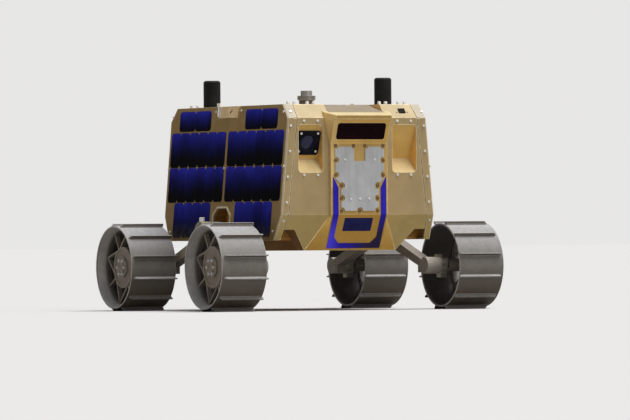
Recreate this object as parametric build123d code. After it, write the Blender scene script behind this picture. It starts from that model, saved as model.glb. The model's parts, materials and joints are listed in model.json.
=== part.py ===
from build123d import *
import math
import os

# A four-wheeled planetary rover prototype: a faceted body on two rigid rocker arms,
# with a driven wheel at each corner. The front faces -Y, +X is the rover's left hand
# side as it looks forward, and the origin is on the ground under the body's middle.

os.makedirs("parts", exist_ok=True)

# Wheels
WHEELBASE = 400.0
TRACK = 522.0
DRUM_WIDTH = 97.0
DRUM_RADIUS = 82.4
DRUM_WALL = 2.4
LIP_HEIGHT = 1.2
LIP_WIDTH = 2.5
GROUSER_COUNT = 12
GROUSER_HEIGHT = 7.1
GROUSER_THICKNESS = 2.2
GROUSER_FOOT = 3.2
GROUSER_OUTER_SETBACK = 5.0
GROUSER_INNER_OVERHANG = 1.5
GROUSER_CORNER = 5.0
GROUSER_TURN = 15.0

# Wheel spider
SPIDER_DEPTH = 18.0
SPIDER_THICKNESS = 11.0
RING_HEIGHT = 6.0
SPOKE_WIDTH = 3.4
SPOKE_NODE_RADIUS = 39.0
HUB_DISC_RADIUS = 41.0
HUB_DISC_THICKNESS = 5.0
HUB_DISC_SETBACK = 3.0
BOSS_RADIUS = 20.0
BOSS_HEIGHT = 3.0
CAP_RADIUS = 9.0
CAP_HEIGHT = 2.0
HUB_RIM_WIDTH = 4.0
HUB_RIM_HEIGHT = 1.5
HUB_TUBE_RADIUS = 12.5
HUB_TUBE_LENGTH = 61.0

# Drive units
AXLE_RADIUS = 8.0
AXLE_RUNNING_CLEARANCE = 0.05
AXLE_END_GAP = 1.0
AXLE_GRIP = 20.0
MOTOR_RADIUS = 16.5
MOTOR_LENGTH = 24.0
FLANGE_RADIUS = 12.5
FLANGE_THICKNESS = 14.0
FLANGE_NOTCH_COUNT = 6
FLANGE_NOTCH_WIDTH = 5.0
FLANGE_NOTCH_DEPTH = 2.0
FLANGE_RIM = 2.0
FLANGE_BLOCK_HALF_WIDTH = 14.0
FLANGE_BLOCK_LOW = 4.0
FLANGE_BLOCK_TOP = 14.0
CLAMP_BLOCK_HALF_WIDTH = 8.0
CLAMP_BLOCK_DROP = 24.0
GLAND_LENGTH = 12.0
GLAND_WIDTH = 10.0
GLAND_HEIGHT = 5.0

# Rocker arms
ROCKER_INNER_X = 176.0
ROCKER_WIDTH = 22.0
ROCKER_PIVOT_ABOVE_AXLE = 66.0
PIVOT_HUB_RADIUS = 23.5
PIVOT_HUB_REACH = 20.0
ROCKER_ARM_PIVOT_HEIGHT = 20.0
ROCKER_ARM_END_HEIGHT = 15.5
ROCKER_END_RADIUS = 16.5
CLAMP_EAR_REACH = 9.5
CLAMP_EAR_HEIGHT = 16.0
CLAMP_EAR_DROP = 6.0
PIVOT_SHAFT_RADIUS = 11.0
PIVOT_CAP_THICKNESS = 3.0
PIVOT_CAP_RADIUS = 15.0

# Body envelope
BELLY_ABOVE_AXLE = 51.5
BODY_HEIGHT = 265.0
BODY_HALF_LENGTH = 258.0
ROOF_HALF_WIDTH = 150.0
SIDE_LEAN = 0.085
BROW_DROP = 27.0
BROW_SETBACK = 25.0
CHIN_RISE = 49.0
CHIN_SETBACK = 26.0
KEEL_DROP = 20.5
KEEL_TOP_HALF_WIDTH = 132.0
KEEL_HALF_WIDTH = 101.0
END_COVER_DEPTH = 58.0
SHEET = 3.0
DECK_SHEET = 3.0
CORNER_FACET = 2.5
SEAM_WIDTH = 1.6
SEAM_DEPTH = 2.2
FOLD_SLOT_RADIUS = 1.5
FOLD_SLOT_LENGTH = 6.0
CUT_MARGIN = 1.0

# Side frames
ARCH_HALF_WIDTH = 36.0
ARCH_TOP_HALF_WIDTH = 20.0
ARCH_HEIGHT = 64.0
ARCH_SHOULDER = 14.0
ARCH_RIM_WIDTH = 3.0
ARCH_RIM_HEIGHT = 2.0
ARCH_POCKET_DEPTH = 22.0
STRIP_TOP_WIDTH = 20.0
STRIP_FOLD_WIDTH = 15.5

# Solar cells
CELL_WIDTH = 39.7
CELL_HEIGHT = 69.1
CELL_CROP = 5.0
CELL_PITCH = 40.3
CELL_ROW_GAP = 0.8
CELL_THICKNESS = 0.8
CELL_FIRST_ROW_DROP = 50.0
CELL_BLOCK_GAP = 10.0
TOP_CELL_DROP = 7.5
TOP_CELL_INNER_Y = 76.0
LOW_CELL_INNER_Y = 54.0
FULL_ROW_CELL_COUNT = 6
LOW_ROW_CELL_COUNT = 4
TOP_ROW_CELL_COUNT = 2

# Front face
FASCIA_HALF_WIDTH = 62.0
FASCIA_PROUD = 6.5
VISOR_REACH = 22.0
VISOR_TOP_DROP = 22.65
VISOR_HEIGHT = 7.3
VISOR_FRONT_HALF_WIDTH = 61.0
VISOR_REAR_HALF_WIDTH = 72.5
WINDOW_REACH = 17.0
WINDOW_ZONE_HEIGHT = 47.05
WINDOW_HALF_WIDTH = 53.0
WINDOW_HEIGHT = 33.5
WINDOW_CORNER = 5.0
WINDOW_THICKNESS = 2.0
WINDOW_PROUD = 0.4
LOWER_FASCIA_SLOPE = 0.476
RAMP_REAR_SETBACK = 73.5
RAMP_SHEET = 3.0
NICHE_INNER_X = 76.5
NICHE_WIDTH = 53.0
NICHE_TOP_DROP = 40.0
NICHE_HEIGHT = 94.0
NICHE_FLOOR_HEIGHT = 27.5
NICHE_DEPTH = 24.0
NICHE_TOP_DEPTH = 1.0
NICHE_CORNER = 8.0

# Service plate and band
PLATE_HALF_WIDTH = 53.5
PLATE_TOP_DROP = 83.5
PLATE_HEIGHT = 125.0
PLATE_WAIST_HALF_WIDTH = 41.0
PLATE_SHOULDER_DROP = 62.0
PLATE_WAIST_DROP = 73.0
PLATE_NOTCH_HALF_WIDTH = 12.5
PLATE_NOTCH_DEPTH = 28.0
PLATE_THICKNESS = 2.0
PLATE_SCALLOP_RADIUS = 6.8
PLATE_SCREW_INSET = 1.2
PLATE_SCREW_RISE = 2.0
PLATE_SCREW_PITCH = 28.5
PLATE_WAIST_SCREW_PITCH = 24.5
BAND_OUTER_HALF_WIDTH = 58.2
BAND_WIDTH = 11.5
BAND_APEX_DROP = 142.0
BAND_SHOULDER_DROP = 163.0
BAND_BOTTOM_RISE = 4.0
BAND_BOTTOM_WIDTH = 10.0
BAND_INNER_CHAMFER_X = 11.5
BAND_INNER_CHAMFER_Z = 12.0
BAND_THICKNESS = 1.2

# Camera
CAMERA_PLATE_SIZE = 49.0
CAMERA_PLATE_THICKNESS = 3.0
CAMERA_PLATE_CORNER = 5.0
CAMERA_CENTRE_DROP = 35.0
CAMERA_HOUSING_RADIUS = 20.5
CAMERA_HOUSING_LENGTH = 12.0
BEZEL_RADIUS = 17.0
BEZEL_DEPTH = 3.5
LENS_RADIUS = 13.5
LENS_LENGTH = 4.0
LENS_DOME = 2.0

# Roof equipment
ANTENNA_INSET = 35.0
ANTENNA_SETBACK = 111.0
ANTENNA_RADIUS = 17.0
ANTENNA_HEIGHT = 54.0
ANTENNA_EDGE = 3.0
CONNECTOR_SETBACK = 217.0
CONNECTOR_BASE_RADIUS = 15.0
CONNECTOR_BASE_HEIGHT = 12.0
CONNECTOR_FLANGE_RADIUS = 18.0
CONNECTOR_FLANGE_HEIGHT = 8.5
CONNECTOR_TOP_RADIUS = 11.5
CONNECTOR_TOP_HEIGHT = 10.0
CONNECTOR_BORE_RADIUS = 6.0
CONNECTOR_BORE_DEPTH = 14.0
DECK_HOLE_RADIUS = 2.2
DECK_HOLE_SPACING_X = 100.0
DECK_HOLE_SPACING_Y = 100.0
DECK_HOLE_SETBACK = 188.0

# Side bracket in a notch of the side sheet, and port
NOTCH_HALF_LENGTH = 48.5
NOTCH_DROP = 22.0
NOTCH_CORNER = 3.0
BRACKET_BACK_THICKNESS = 1.5
BRACKET_BLOCK_REAR_SETBACK = 32.0
BRACKET_BLOCK_FRONT_SETBACK = 4.0
BRACKET_BLOCK_LEAN = 9.0
BRACKET_BLOCK_PROUD = 2.5
BRACKET_SLOT_LENGTH = 13.0
BRACKET_SLOT_WIDTH = 4.0
BRACKET_SLOT_TURN = 35.0
STANDOFF_WIDTH = 5.0
STANDOFF_HEAD_WIDTH = 13.0
STANDOFF_HEAD_HEIGHT = 7.0
STANDOFF_THICKNESS = 4.0
PORT_X = 104.0
PORT_WIDTH = 14.0
PORT_HEIGHT = 11.0
PORT_PROUD = 2.0
PORT_DEPTH = 8.0

# Places that follow from the sizes
GROUSER_TIP_RADIUS = DRUM_RADIUS + GROUSER_HEIGHT
GROUSER_STEP = 360.0 / GROUSER_COUNT
AXLE_Z = GROUSER_TIP_RADIUS * math.cos(math.radians(GROUSER_STEP / 2))
WHEEL_X = TRACK / 2
WHEEL_Y = WHEELBASE / 2
BELLY_Z = AXLE_Z + BELLY_ABOVE_AXLE
ROOF_Z = BELLY_Z + BODY_HEIGHT
KEEL_Z = BELLY_Z - KEEL_DROP
BROW_Z = ROOF_Z - BROW_DROP
CHIN_Z = BELLY_Z + CHIN_RISE
CHIN_SLOPE = CHIN_SETBACK / CHIN_RISE
FRONT_Y = -BODY_HALF_LENGTH
REAR_Y = BODY_HALF_LENGTH
COVER_Y = BODY_HALF_LENGTH - END_COVER_DEPTH
ANTENNA_X = ROOF_HALF_WIDTH - ANTENNA_INSET
ANTENNA_Y = BODY_HALF_LENGTH - ANTENNA_SETBACK
CONNECTOR_Y = -(BODY_HALF_LENGTH - CONNECTOR_SETBACK)
DECK_HOLE_CENTRE_Y = BODY_HALF_LENGTH - DECK_HOLE_SETBACK
DECK_EDGE_Y = BODY_HALF_LENGTH - BROW_SETBACK
PIVOT_Z = AXLE_Z + ROCKER_PIVOT_ABOVE_AXLE
FASCIA_Y = FRONT_Y - FASCIA_PROUD
VISOR_Y = FASCIA_Y - VISOR_REACH
VISOR_TOP_Z = ROOF_Z - VISOR_TOP_DROP
VISOR_LOW_Z = VISOR_TOP_Z - VISOR_HEIGHT
WINDOW_ZONE_Z = VISOR_LOW_Z - WINDOW_ZONE_HEIGHT


def side_x(z):
    """Half width of the body at the outside of the side frames."""
    return ROOF_HALF_WIDTH + SIDE_LEAN * (ROOF_Z - z)


def prism_x(points, x0, x1):
    """A (y, z) outline carried along X."""
    face = Plane.YZ.offset(x0) * make_face(Polyline(*points, close=True))
    return extrude(face, amount=x1 - x0, dir=(1, 0, 0))


def prism_y(points, y0, y1):
    """An (x, z) outline carried along Y."""
    place = Plane(origin=(0, y0, 0), x_dir=(1, 0, 0), z_dir=(0, -1, 0))
    face = place * make_face(Polyline(*points, close=True))
    return extrude(face, amount=y1 - y0, dir=(0, 1, 0))


def cylinder_x(radius, x0, x1, y, z):
    """A round bar along X."""
    place = Plane(origin=(x0, y, z), x_dir=(0, 1, 0), z_dir=(1, 0, 0))
    return extrude(place * Circle(radius), amount=x1 - x0, dir=(1, 0, 0))


def cylinder_y(radius, y0, y1, x, z):
    """A round bar along Y."""
    place = Plane(origin=(x, y0, z), x_dir=(1, 0, 0), z_dir=(0, -1, 0))
    return extrude(place * Circle(radius), amount=y1 - y0, dir=(0, 1, 0))


def cylinder_z(radius, z0, z1, x, y):
    """A round bar along Z."""
    return extrude(Plane.XY.offset(z0) * Pos(x, y) * Circle(radius), amount=z1 - z0)


def mirrored(shape):
    """The same piece on the other side of the body."""
    return mirror(shape, about=Plane.YZ)


def save(shape, name):
    """Write one named piece."""
    export_step(shape, "parts/" + name + ".step")


# Body profiles. The end outline is shared by the side frames and the end covers.
profile = [
    (-DECK_EDGE_Y, ROOF_Z),
    (FRONT_Y, BROW_Z),
    (FRONT_Y, CHIN_Z),
    (FRONT_Y + CHIN_SETBACK, BELLY_Z),
    (REAR_Y - CHIN_SETBACK, BELLY_Z),
    (REAR_Y, CHIN_Z),
    (REAR_Y, BROW_Z),
    (DECK_EDGE_Y, ROOF_Z),
]
WIDE = side_x(KEEL_Z) + SHEET
body_prism = prism_x(profile, -WIDE, WIDE)
inner_profile = offset(make_face(Polyline(*profile, close=True)), amount=-SHEET)
inner_prism = extrude(Plane.YZ.offset(-WIDE) * inner_profile, amount=2 * WIDE, dir=(1, 0, 0))

# Seam between the end covers and the strips of the side frames, +X side
seam_top_x = side_x(ROOF_Z) - STRIP_TOP_WIDTH
seam_fold_x = side_x(CHIN_Z) - STRIP_FOLD_WIDTH
seam_slope = (seam_fold_x - seam_top_x) / (ROOF_Z - CHIN_Z)


def seam_x(z):
    """Half width of the end covers."""
    return seam_top_x + seam_slope * (ROOF_Z - z)


seam_inside = offset(make_face(Polyline(*profile, close=True)), amount=-SEAM_DEPTH)
seam_skin = body_prism - extrude(
    Plane.YZ.offset(-WIDE) * seam_inside, amount=2 * WIDE, dir=(1, 0, 0)
)
seam_groove = seam_skin & prism_y(
    [
        (seam_x(ROOF_Z) - SEAM_WIDTH, ROOF_Z),
        (seam_x(ROOF_Z), ROOF_Z),
        (seam_x(BELLY_Z), BELLY_Z),
        (seam_x(BELLY_Z) - SEAM_WIDTH, BELLY_Z),
    ],
    FRONT_Y,
    REAR_Y,
)


# Side frames: a leaning sheet with an arch, and a strip folded over each end
arch = [
    (-ARCH_HALF_WIDTH, BELLY_Z - SHEET),
    (-ARCH_HALF_WIDTH, BELLY_Z + ARCH_HEIGHT - ARCH_SHOULDER),
    (-ARCH_TOP_HALF_WIDTH, BELLY_Z + ARCH_HEIGHT),
    (ARCH_TOP_HALF_WIDTH, BELLY_Z + ARCH_HEIGHT),
    (ARCH_HALF_WIDTH, BELLY_Z + ARCH_HEIGHT - ARCH_SHOULDER),
    (ARCH_HALF_WIDTH, BELLY_Z - SHEET),
]
arch_hole = prism_x(arch, 0, 2 * WIDE)
arch_face = make_face(Polyline(*arch, close=True))
arch_outer = offset(arch_face, amount=ARCH_RIM_WIDTH)
arch_rim = extrude(Plane.YZ * arch_outer, amount=2 * WIDE, dir=(1, 0, 0)) - arch_hole


def side_slab(inner, outer):
    """A leaning slab between two distances from the outside of the side frame."""
    return prism_y(
        [
            (side_x(ROOF_Z) + inner, ROOF_Z),
            (side_x(ROOF_Z) + outer, ROOF_Z),
            (side_x(BELLY_Z) + outer, BELLY_Z),
            (side_x(BELLY_Z) + inner, BELLY_Z),
        ],
        FRONT_Y,
        REAR_Y,
    )


strip_block = prism_y(
    [
        (seam_x(ROOF_Z), ROOF_Z),
        (side_x(ROOF_Z), ROOF_Z),
        (side_x(BELLY_Z), BELLY_Z),
        (seam_x(BELLY_Z), BELLY_Z),
    ],
    FRONT_Y,
    REAR_Y,
)
shell = body_prism - inner_prism
end_zone = prism_x(
    [(FRONT_Y, BELLY_Z), (-COVER_Y, BELLY_Z), (-COVER_Y, ROOF_Z), (FRONT_Y, ROOF_Z)], 0, WIDE
) + prism_x([(REAR_Y, BELLY_Z), (COVER_Y, BELLY_Z), (COVER_Y, ROOF_Z), (REAR_Y, ROOF_Z)], 0, WIDE)
strips = strip_block & shell & end_zone
side_frame = (side_slab(-SHEET, 0) & body_prism) + strips


def corner_section(y, z):
    """The triangle that the facet takes off the corner between a strip and the leaning sheet."""
    x = side_x(z)
    inward = CORNER_FACET if y < 0 else -CORNER_FACET
    corner = Polyline((x - CORNER_FACET, y), (x, y), (x, y + inward), close=True)
    return Plane.XY.offset(z) * make_face(corner)


for start, end in zip(profile[:-1], profile[1:]):
    if start[0] * end[0] > 0:
        side_frame = side_frame - loft([corner_section(*start), corner_section(*end)], ruled=True)
side_frame = side_frame - arch_hole
for y in (FRONT_Y, REAR_Y):
    for z in (BROW_Z, CHIN_Z):
        fold_slot = cylinder_x(
            FOLD_SLOT_RADIUS, seam_x(z) - CUT_MARGIN, seam_x(z) + FOLD_SLOT_LENGTH, y, z
        )
        side_frame = side_frame - fold_slot
side_frame = side_frame + (arch_rim & side_slab(0, ARCH_RIM_HEIGHT) & body_prism)
notch = prism_x(
    [
        (-NOTCH_HALF_LENGTH, ROOF_Z + SHEET),
        (-NOTCH_HALF_LENGTH, ROOF_Z - NOTCH_DROP + NOTCH_CORNER),
        (-NOTCH_HALF_LENGTH + NOTCH_CORNER, ROOF_Z - NOTCH_DROP),
        (NOTCH_HALF_LENGTH - NOTCH_CORNER, ROOF_Z - NOTCH_DROP),
        (NOTCH_HALF_LENGTH, ROOF_Z - NOTCH_DROP + NOTCH_CORNER),
        (NOTCH_HALF_LENGTH, ROOF_Z + SHEET),
    ],
    0,
    WIDE,
)
side_frame = side_frame - notch
save(side_frame, "side_frame_left")
save(mirrored(side_frame), "side_frame_right")

# Solar cells: cropped-corner wafers laid on the leaning side
lean_angle = math.degrees(math.atan(SIDE_LEAN))
cell_face = Rectangle(CELL_WIDTH, CELL_HEIGHT)
cell_face = chamfer(cell_face.vertices(), CELL_CROP)
row_pitch = CELL_HEIGHT + CELL_ROW_GAP
first_row = CELL_FIRST_ROW_DROP + CELL_HEIGHT / 2
block_start = CELL_BLOCK_GAP / 2 + CELL_PITCH / 2
# rows of cells: first y, pitch, count, distance down the slope, turned on its side
cell_rows = [
    (block_start, CELL_PITCH, FULL_ROW_CELL_COUNT, first_row, False),
    (block_start, CELL_PITCH, FULL_ROW_CELL_COUNT, first_row + row_pitch, False),
    (
        LOW_CELL_INNER_Y + CELL_PITCH / 2,
        CELL_PITCH,
        LOW_ROW_CELL_COUNT,
        first_row + 2 * row_pitch,
        False,
    ),
    (
        TOP_CELL_INNER_Y + CELL_HEIGHT / 2,
        row_pitch,
        TOP_ROW_CELL_COUNT,
        TOP_CELL_DROP + CELL_WIDTH / 2,
        True,
    ),
]
slope_plane = Plane(
    origin=(side_x(ROOF_Z), 0, ROOF_Z),
    x_dir=(0, 1, 0),
    z_dir=(1, 0, SIDE_LEAN),
)
cells = []
for start, pitch, count, drop, turned in cell_rows:
    for index in range(count):
        for side in (-1, 1):
            place = slope_plane * Pos(side * (start + index * pitch), -drop)
            if turned:
                place = place * Rot(0, 0, 90)
            cells.append(extrude(place * cell_face, amount=CELL_THICKNESS))
solar_cells = Compound(cells)
save(solar_cells, "solar_cells_left")
save(mirrored(solar_cells), "solar_cells_right")

# Front pillars and rear cover
niche_top = ROOF_Z - NICHE_TOP_DROP
niche_low = niche_top - NICHE_HEIGHT
niche_floor_z = niche_low + NICHE_FLOOR_HEIGHT
niche_back = FRONT_Y + NICHE_DEPTH
niche_lean = (NICHE_DEPTH - NICHE_TOP_DEPTH) / (NICHE_HEIGHT - NICHE_FLOOR_HEIGHT)
niche_section = prism_x(
    [
        (FRONT_Y - CUT_MARGIN, niche_low),
        (FRONT_Y, niche_low),
        (niche_back, niche_floor_z),
        (FRONT_Y + NICHE_TOP_DEPTH, niche_top),
        (FRONT_Y - CUT_MARGIN, niche_top),
    ],
    0,
    WIDE,
)
niche_front = Plane(origin=(0, FRONT_Y - CUT_MARGIN, 0), x_dir=(1, 0, 0), z_dir=(0, -1, 0))
niche_window = niche_front * (
    Pos(NICHE_INNER_X + NICHE_WIDTH / 2, (niche_top + niche_low) / 2)
    * RectangleRounded(NICHE_WIDTH, NICHE_HEIGHT, NICHE_CORNER)
)
niche = niche_section & extrude(
    niche_window, amount=NICHE_DEPTH + CUT_MARGIN, dir=(0, 1, 0)
)
keel_front_y = FRONT_Y + CHIN_SLOPE * (CHIN_Z - KEEL_Z)
pillar_end_z = BELLY_Z + KEEL_DROP
pillar_outline = prism_y(
    [
        (FASCIA_HALF_WIDTH, ROOF_Z),
        (seam_x(ROOF_Z), ROOF_Z),
        (seam_x(CHIN_Z), CHIN_Z),
        (seam_x(pillar_end_z), pillar_end_z),
        (KEEL_TOP_HALF_WIDTH, pillar_end_z),
        (KEEL_HALF_WIDTH, KEEL_Z),
        (FASCIA_HALF_WIDTH, KEEL_Z),
    ],
    FRONT_Y,
    -COVER_Y,
)
pillar_profile = prism_x(
    [
        (-DECK_EDGE_Y, ROOF_Z),
        (FRONT_Y, BROW_Z),
        (FRONT_Y, CHIN_Z),
        (keel_front_y, KEEL_Z),
        (-COVER_Y, KEEL_Z),
        (-COVER_Y, ROOF_Z - DECK_SHEET),
        (-DECK_EDGE_Y, ROOF_Z - DECK_SHEET),
    ],
    0,
    WIDE,
)
port_z = (ROOF_Z + BROW_Z) / 2
port_y = -(DECK_EDGE_Y + BODY_HALF_LENGTH) / 2
brow_plane = Plane(
    origin=(PORT_X, port_y, port_z), x_dir=(1, 0, 0), z_dir=(0, -BROW_DROP, BROW_SETBACK)
)
port_block = extrude(
    brow_plane * Pos(0, 0, -PORT_DEPTH) * Rectangle(PORT_WIDTH, PORT_HEIGHT),
    amount=PORT_DEPTH + PORT_PROUD,
)
pillar = (pillar_outline & pillar_profile) - niche - seam_groove

# The camera lies on the leaning back wall of the -X niche, its housing let into the wall
camera_z = niche_top - CAMERA_CENTRE_DROP
camera_wall_y = FRONT_Y + NICHE_TOP_DEPTH + niche_lean * CAMERA_CENTRE_DROP
camera_place = Plane(
    origin=(-(NICHE_INNER_X + NICHE_WIDTH / 2), camera_wall_y, camera_z),
    x_dir=(1, 0, 0),
    z_dir=(0, -1, -niche_lean),
)


def camera_disc(radius, start, length):
    """A round piece square to the camera's plate, measured out from the wall."""
    return extrude(camera_place.offset(start) * Circle(radius), amount=length)


camera_room = camera_disc(CAMERA_HOUSING_RADIUS, -CAMERA_HOUSING_LENGTH, CAMERA_HOUSING_LENGTH)
save(mirrored(pillar) - camera_room, "front_pillar_right")
save(pillar - port_block, "front_pillar_left")
save(port_block, "port_socket")

rear_outline = prism_y(
    [
        (-seam_x(ROOF_Z), ROOF_Z),
        (seam_x(ROOF_Z), ROOF_Z),
        (seam_x(BELLY_Z), BELLY_Z),
        (-seam_x(BELLY_Z), BELLY_Z),
    ],
    COVER_Y,
    REAR_Y,
)
deck_room = prism_x(
    [
        (-DECK_EDGE_Y, ROOF_Z),
        (DECK_EDGE_Y, ROOF_Z),
        (DECK_EDGE_Y, ROOF_Z - DECK_SHEET),
        (-DECK_EDGE_Y, ROOF_Z - DECK_SHEET),
    ],
    -WIDE,
    WIDE,
)
rear_cover = (rear_outline & body_prism) - deck_room
rear_cover = rear_cover - seam_groove - mirrored(seam_groove)
save(rear_cover, "rear_cover")

# Fascia: raised centre panel with a leaning window zone and a chin that flares to the pillars
ramp_rear_y = -(BODY_HALF_LENGTH - RAMP_REAR_SETBACK)
ramp_slope = (ROOF_Z - VISOR_TOP_Z) / (ramp_rear_y - VISOR_Y)


def ramp_z(y):
    """Height of the sloping top panel between the pillars."""
    return ROOF_Z - ramp_slope * (ramp_rear_y - y)


window_top_y = FASCIA_Y - WINDOW_REACH
chin_front_y = FASCIA_Y + LOWER_FASCIA_SLOPE * (CHIN_Z - KEEL_Z)
fascia_block = prism_x(
    [
        (-COVER_Y, ramp_z(-COVER_Y) - RAMP_SHEET),
        (FRONT_Y, ramp_z(FRONT_Y) - RAMP_SHEET),
        (FRONT_Y, VISOR_LOW_Z),
        (window_top_y, VISOR_LOW_Z),
        (FASCIA_Y, WINDOW_ZONE_Z),
        (FASCIA_Y, CHIN_Z),
        (FRONT_Y, CHIN_Z),
        (keel_front_y, KEEL_Z),
        (-COVER_Y, KEEL_Z),
    ],
    -FASCIA_HALF_WIDTH,
    FASCIA_HALF_WIDTH,
)
chin_top = Plane.XY.offset(CHIN_Z) * make_face(
    Polyline(
        (-FASCIA_HALF_WIDTH, FASCIA_Y),
        (FASCIA_HALF_WIDTH, FASCIA_Y),
        (FASCIA_HALF_WIDTH, FRONT_Y),
        (-FASCIA_HALF_WIDTH, FRONT_Y),
        close=True,
    )
)
chin_low = Plane.XY.offset(KEEL_Z) * make_face(
    Polyline(
        (-FASCIA_HALF_WIDTH, chin_front_y),
        (FASCIA_HALF_WIDTH, chin_front_y),
        (KEEL_HALF_WIDTH, keel_front_y),
        (-KEEL_HALF_WIDTH, keel_front_y),
        close=True,
    )
)
chin = loft([chin_low, chin_top], ruled=True)
flare_low = Plane.XY.offset(WINDOW_ZONE_Z) * make_face(
    Polyline(
        (-FASCIA_HALF_WIDTH, FASCIA_Y),
        (FASCIA_HALF_WIDTH, FASCIA_Y),
        (FASCIA_HALF_WIDTH, FRONT_Y),
        (-FASCIA_HALF_WIDTH, FRONT_Y),
        close=True,
    )
)
flare_top = Plane.XY.offset(VISOR_LOW_Z) * make_face(
    Polyline(
        (-FASCIA_HALF_WIDTH, window_top_y),
        (FASCIA_HALF_WIDTH, window_top_y),
        (VISOR_REAR_HALF_WIDTH, FRONT_Y),
        (-VISOR_REAR_HALF_WIDTH, FRONT_Y),
        close=True,
    )
)
flare = loft([flare_low, flare_top], ruled=True)
fascia = fascia_block + chin + flare
window_plane = Plane(
    origin=(
        0,
        (window_top_y + FASCIA_Y) / 2,
        (VISOR_LOW_Z + WINDOW_ZONE_Z) / 2,
    ),
    x_dir=(1, 0, 0),
    z_dir=(0, -WINDOW_ZONE_HEIGHT, -WINDOW_REACH),
)
window_face = window_plane * RectangleRounded(2 * WINDOW_HALF_WIDTH, WINDOW_HEIGHT, WINDOW_CORNER)
window_seat = extrude(window_face, amount=-(WINDOW_THICKNESS - WINDOW_PROUD))
window = window_seat + extrude(window_face, amount=WINDOW_PROUD)
fascia = fascia - window_seat
save(fascia, "fascia")
save(window, "sensor_window")

# The visor widens towards the pillars, and its two wings run back onto the brow
visor_plan = [
    (-VISOR_FRONT_HALF_WIDTH, VISOR_Y),
    (VISOR_FRONT_HALF_WIDTH, VISOR_Y),
    (VISOR_REAR_HALF_WIDTH, FRONT_Y),
    (-VISOR_REAR_HALF_WIDTH, FRONT_Y),
]
visor_room = extrude(
    Plane.XY.offset(VISOR_LOW_Z) * make_face(Polyline(*visor_plan, close=True)),
    amount=ROOF_Z - VISOR_LOW_Z,
)
visor_front = visor_room & prism_x(
    [
        (VISOR_Y, VISOR_TOP_Z),
        (VISOR_Y, VISOR_LOW_Z),
        (FRONT_Y, VISOR_LOW_Z),
        (FRONT_Y, ramp_z(FRONT_Y)),
    ],
    -VISOR_REAR_HALF_WIDTH,
    VISOR_REAR_HALF_WIDTH,
)
brow_slope = BROW_DROP / BROW_SETBACK
wing_y = FRONT_Y + (ramp_z(FRONT_Y) - BROW_Z) / (brow_slope - ramp_slope)
wing = prism_x(
    [(FRONT_Y, BROW_Z), (FRONT_Y, ramp_z(FRONT_Y)), (wing_y, ramp_z(wing_y))],
    FASCIA_HALF_WIDTH,
    VISOR_REAR_HALF_WIDTH,
)
visor = visor_front + wing + mirrored(wing)
save(visor, "visor")

ramp = prism_x(
    [
        (ramp_rear_y, ROOF_Z),
        (FRONT_Y, ramp_z(FRONT_Y)),
        (FRONT_Y, ramp_z(FRONT_Y) - RAMP_SHEET),
        (ramp_rear_y, ROOF_Z - RAMP_SHEET),
    ],
    -FASCIA_HALF_WIDTH,
    FASCIA_HALF_WIDTH,
)
save(ramp, "roof_ramp")

# Service plate with scallops round the screws of the opening behind it
plate_top = ROOF_Z - PLATE_TOP_DROP
plate_low = plate_top - PLATE_HEIGHT
plate_right = [
    (PLATE_NOTCH_HALF_WIDTH, plate_top),
    (PLATE_HALF_WIDTH, plate_top),
    (PLATE_HALF_WIDTH, plate_top - PLATE_SHOULDER_DROP),
    (PLATE_WAIST_HALF_WIDTH, plate_top - PLATE_WAIST_DROP),
    (PLATE_WAIST_HALF_WIDTH, plate_low),
]
plate_outline = (
    [(0, plate_top - PLATE_NOTCH_DEPTH), (PLATE_NOTCH_HALF_WIDTH, plate_top - PLATE_NOTCH_DEPTH)]
    + plate_right
    + [(-x, z) for x, z in reversed(plate_right)]
    + [(-PLATE_NOTCH_HALF_WIDTH, plate_top - PLATE_NOTCH_DEPTH)]
)
service_plate = prism_y(plate_outline, FASCIA_Y - PLATE_THICKNESS, FASCIA_Y)
wide_x = PLATE_HALF_WIDTH - PLATE_SCREW_INSET
waist_x = PLATE_WAIST_HALF_WIDTH - PLATE_SCREW_INSET
low_drop = PLATE_HEIGHT
# screw places round the plate: half width, distance below the plate's top
plate_screws = [
    (wide_x, -PLATE_SCREW_RISE),
    (PLATE_NOTCH_HALF_WIDTH, -PLATE_SCREW_RISE),
    (wide_x, PLATE_SCREW_PITCH - PLATE_SCREW_RISE),
    (wide_x, 2 * PLATE_SCREW_PITCH - PLATE_SCREW_RISE),
    (waist_x, low_drop - 2 * PLATE_WAIST_SCREW_PITCH),
    (waist_x, low_drop - PLATE_WAIST_SCREW_PITCH),
    (waist_x, low_drop),
    (0, low_drop),
]
for x, drop in plate_screws:
    for side in (-1, 1):
        service_plate -= cylinder_y(
            PLATE_SCALLOP_RADIUS, FASCIA_Y - 2 * PLATE_THICKNESS, FASCIA_Y, side * x, plate_top - drop
        )
save(service_plate, "service_plate")

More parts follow.
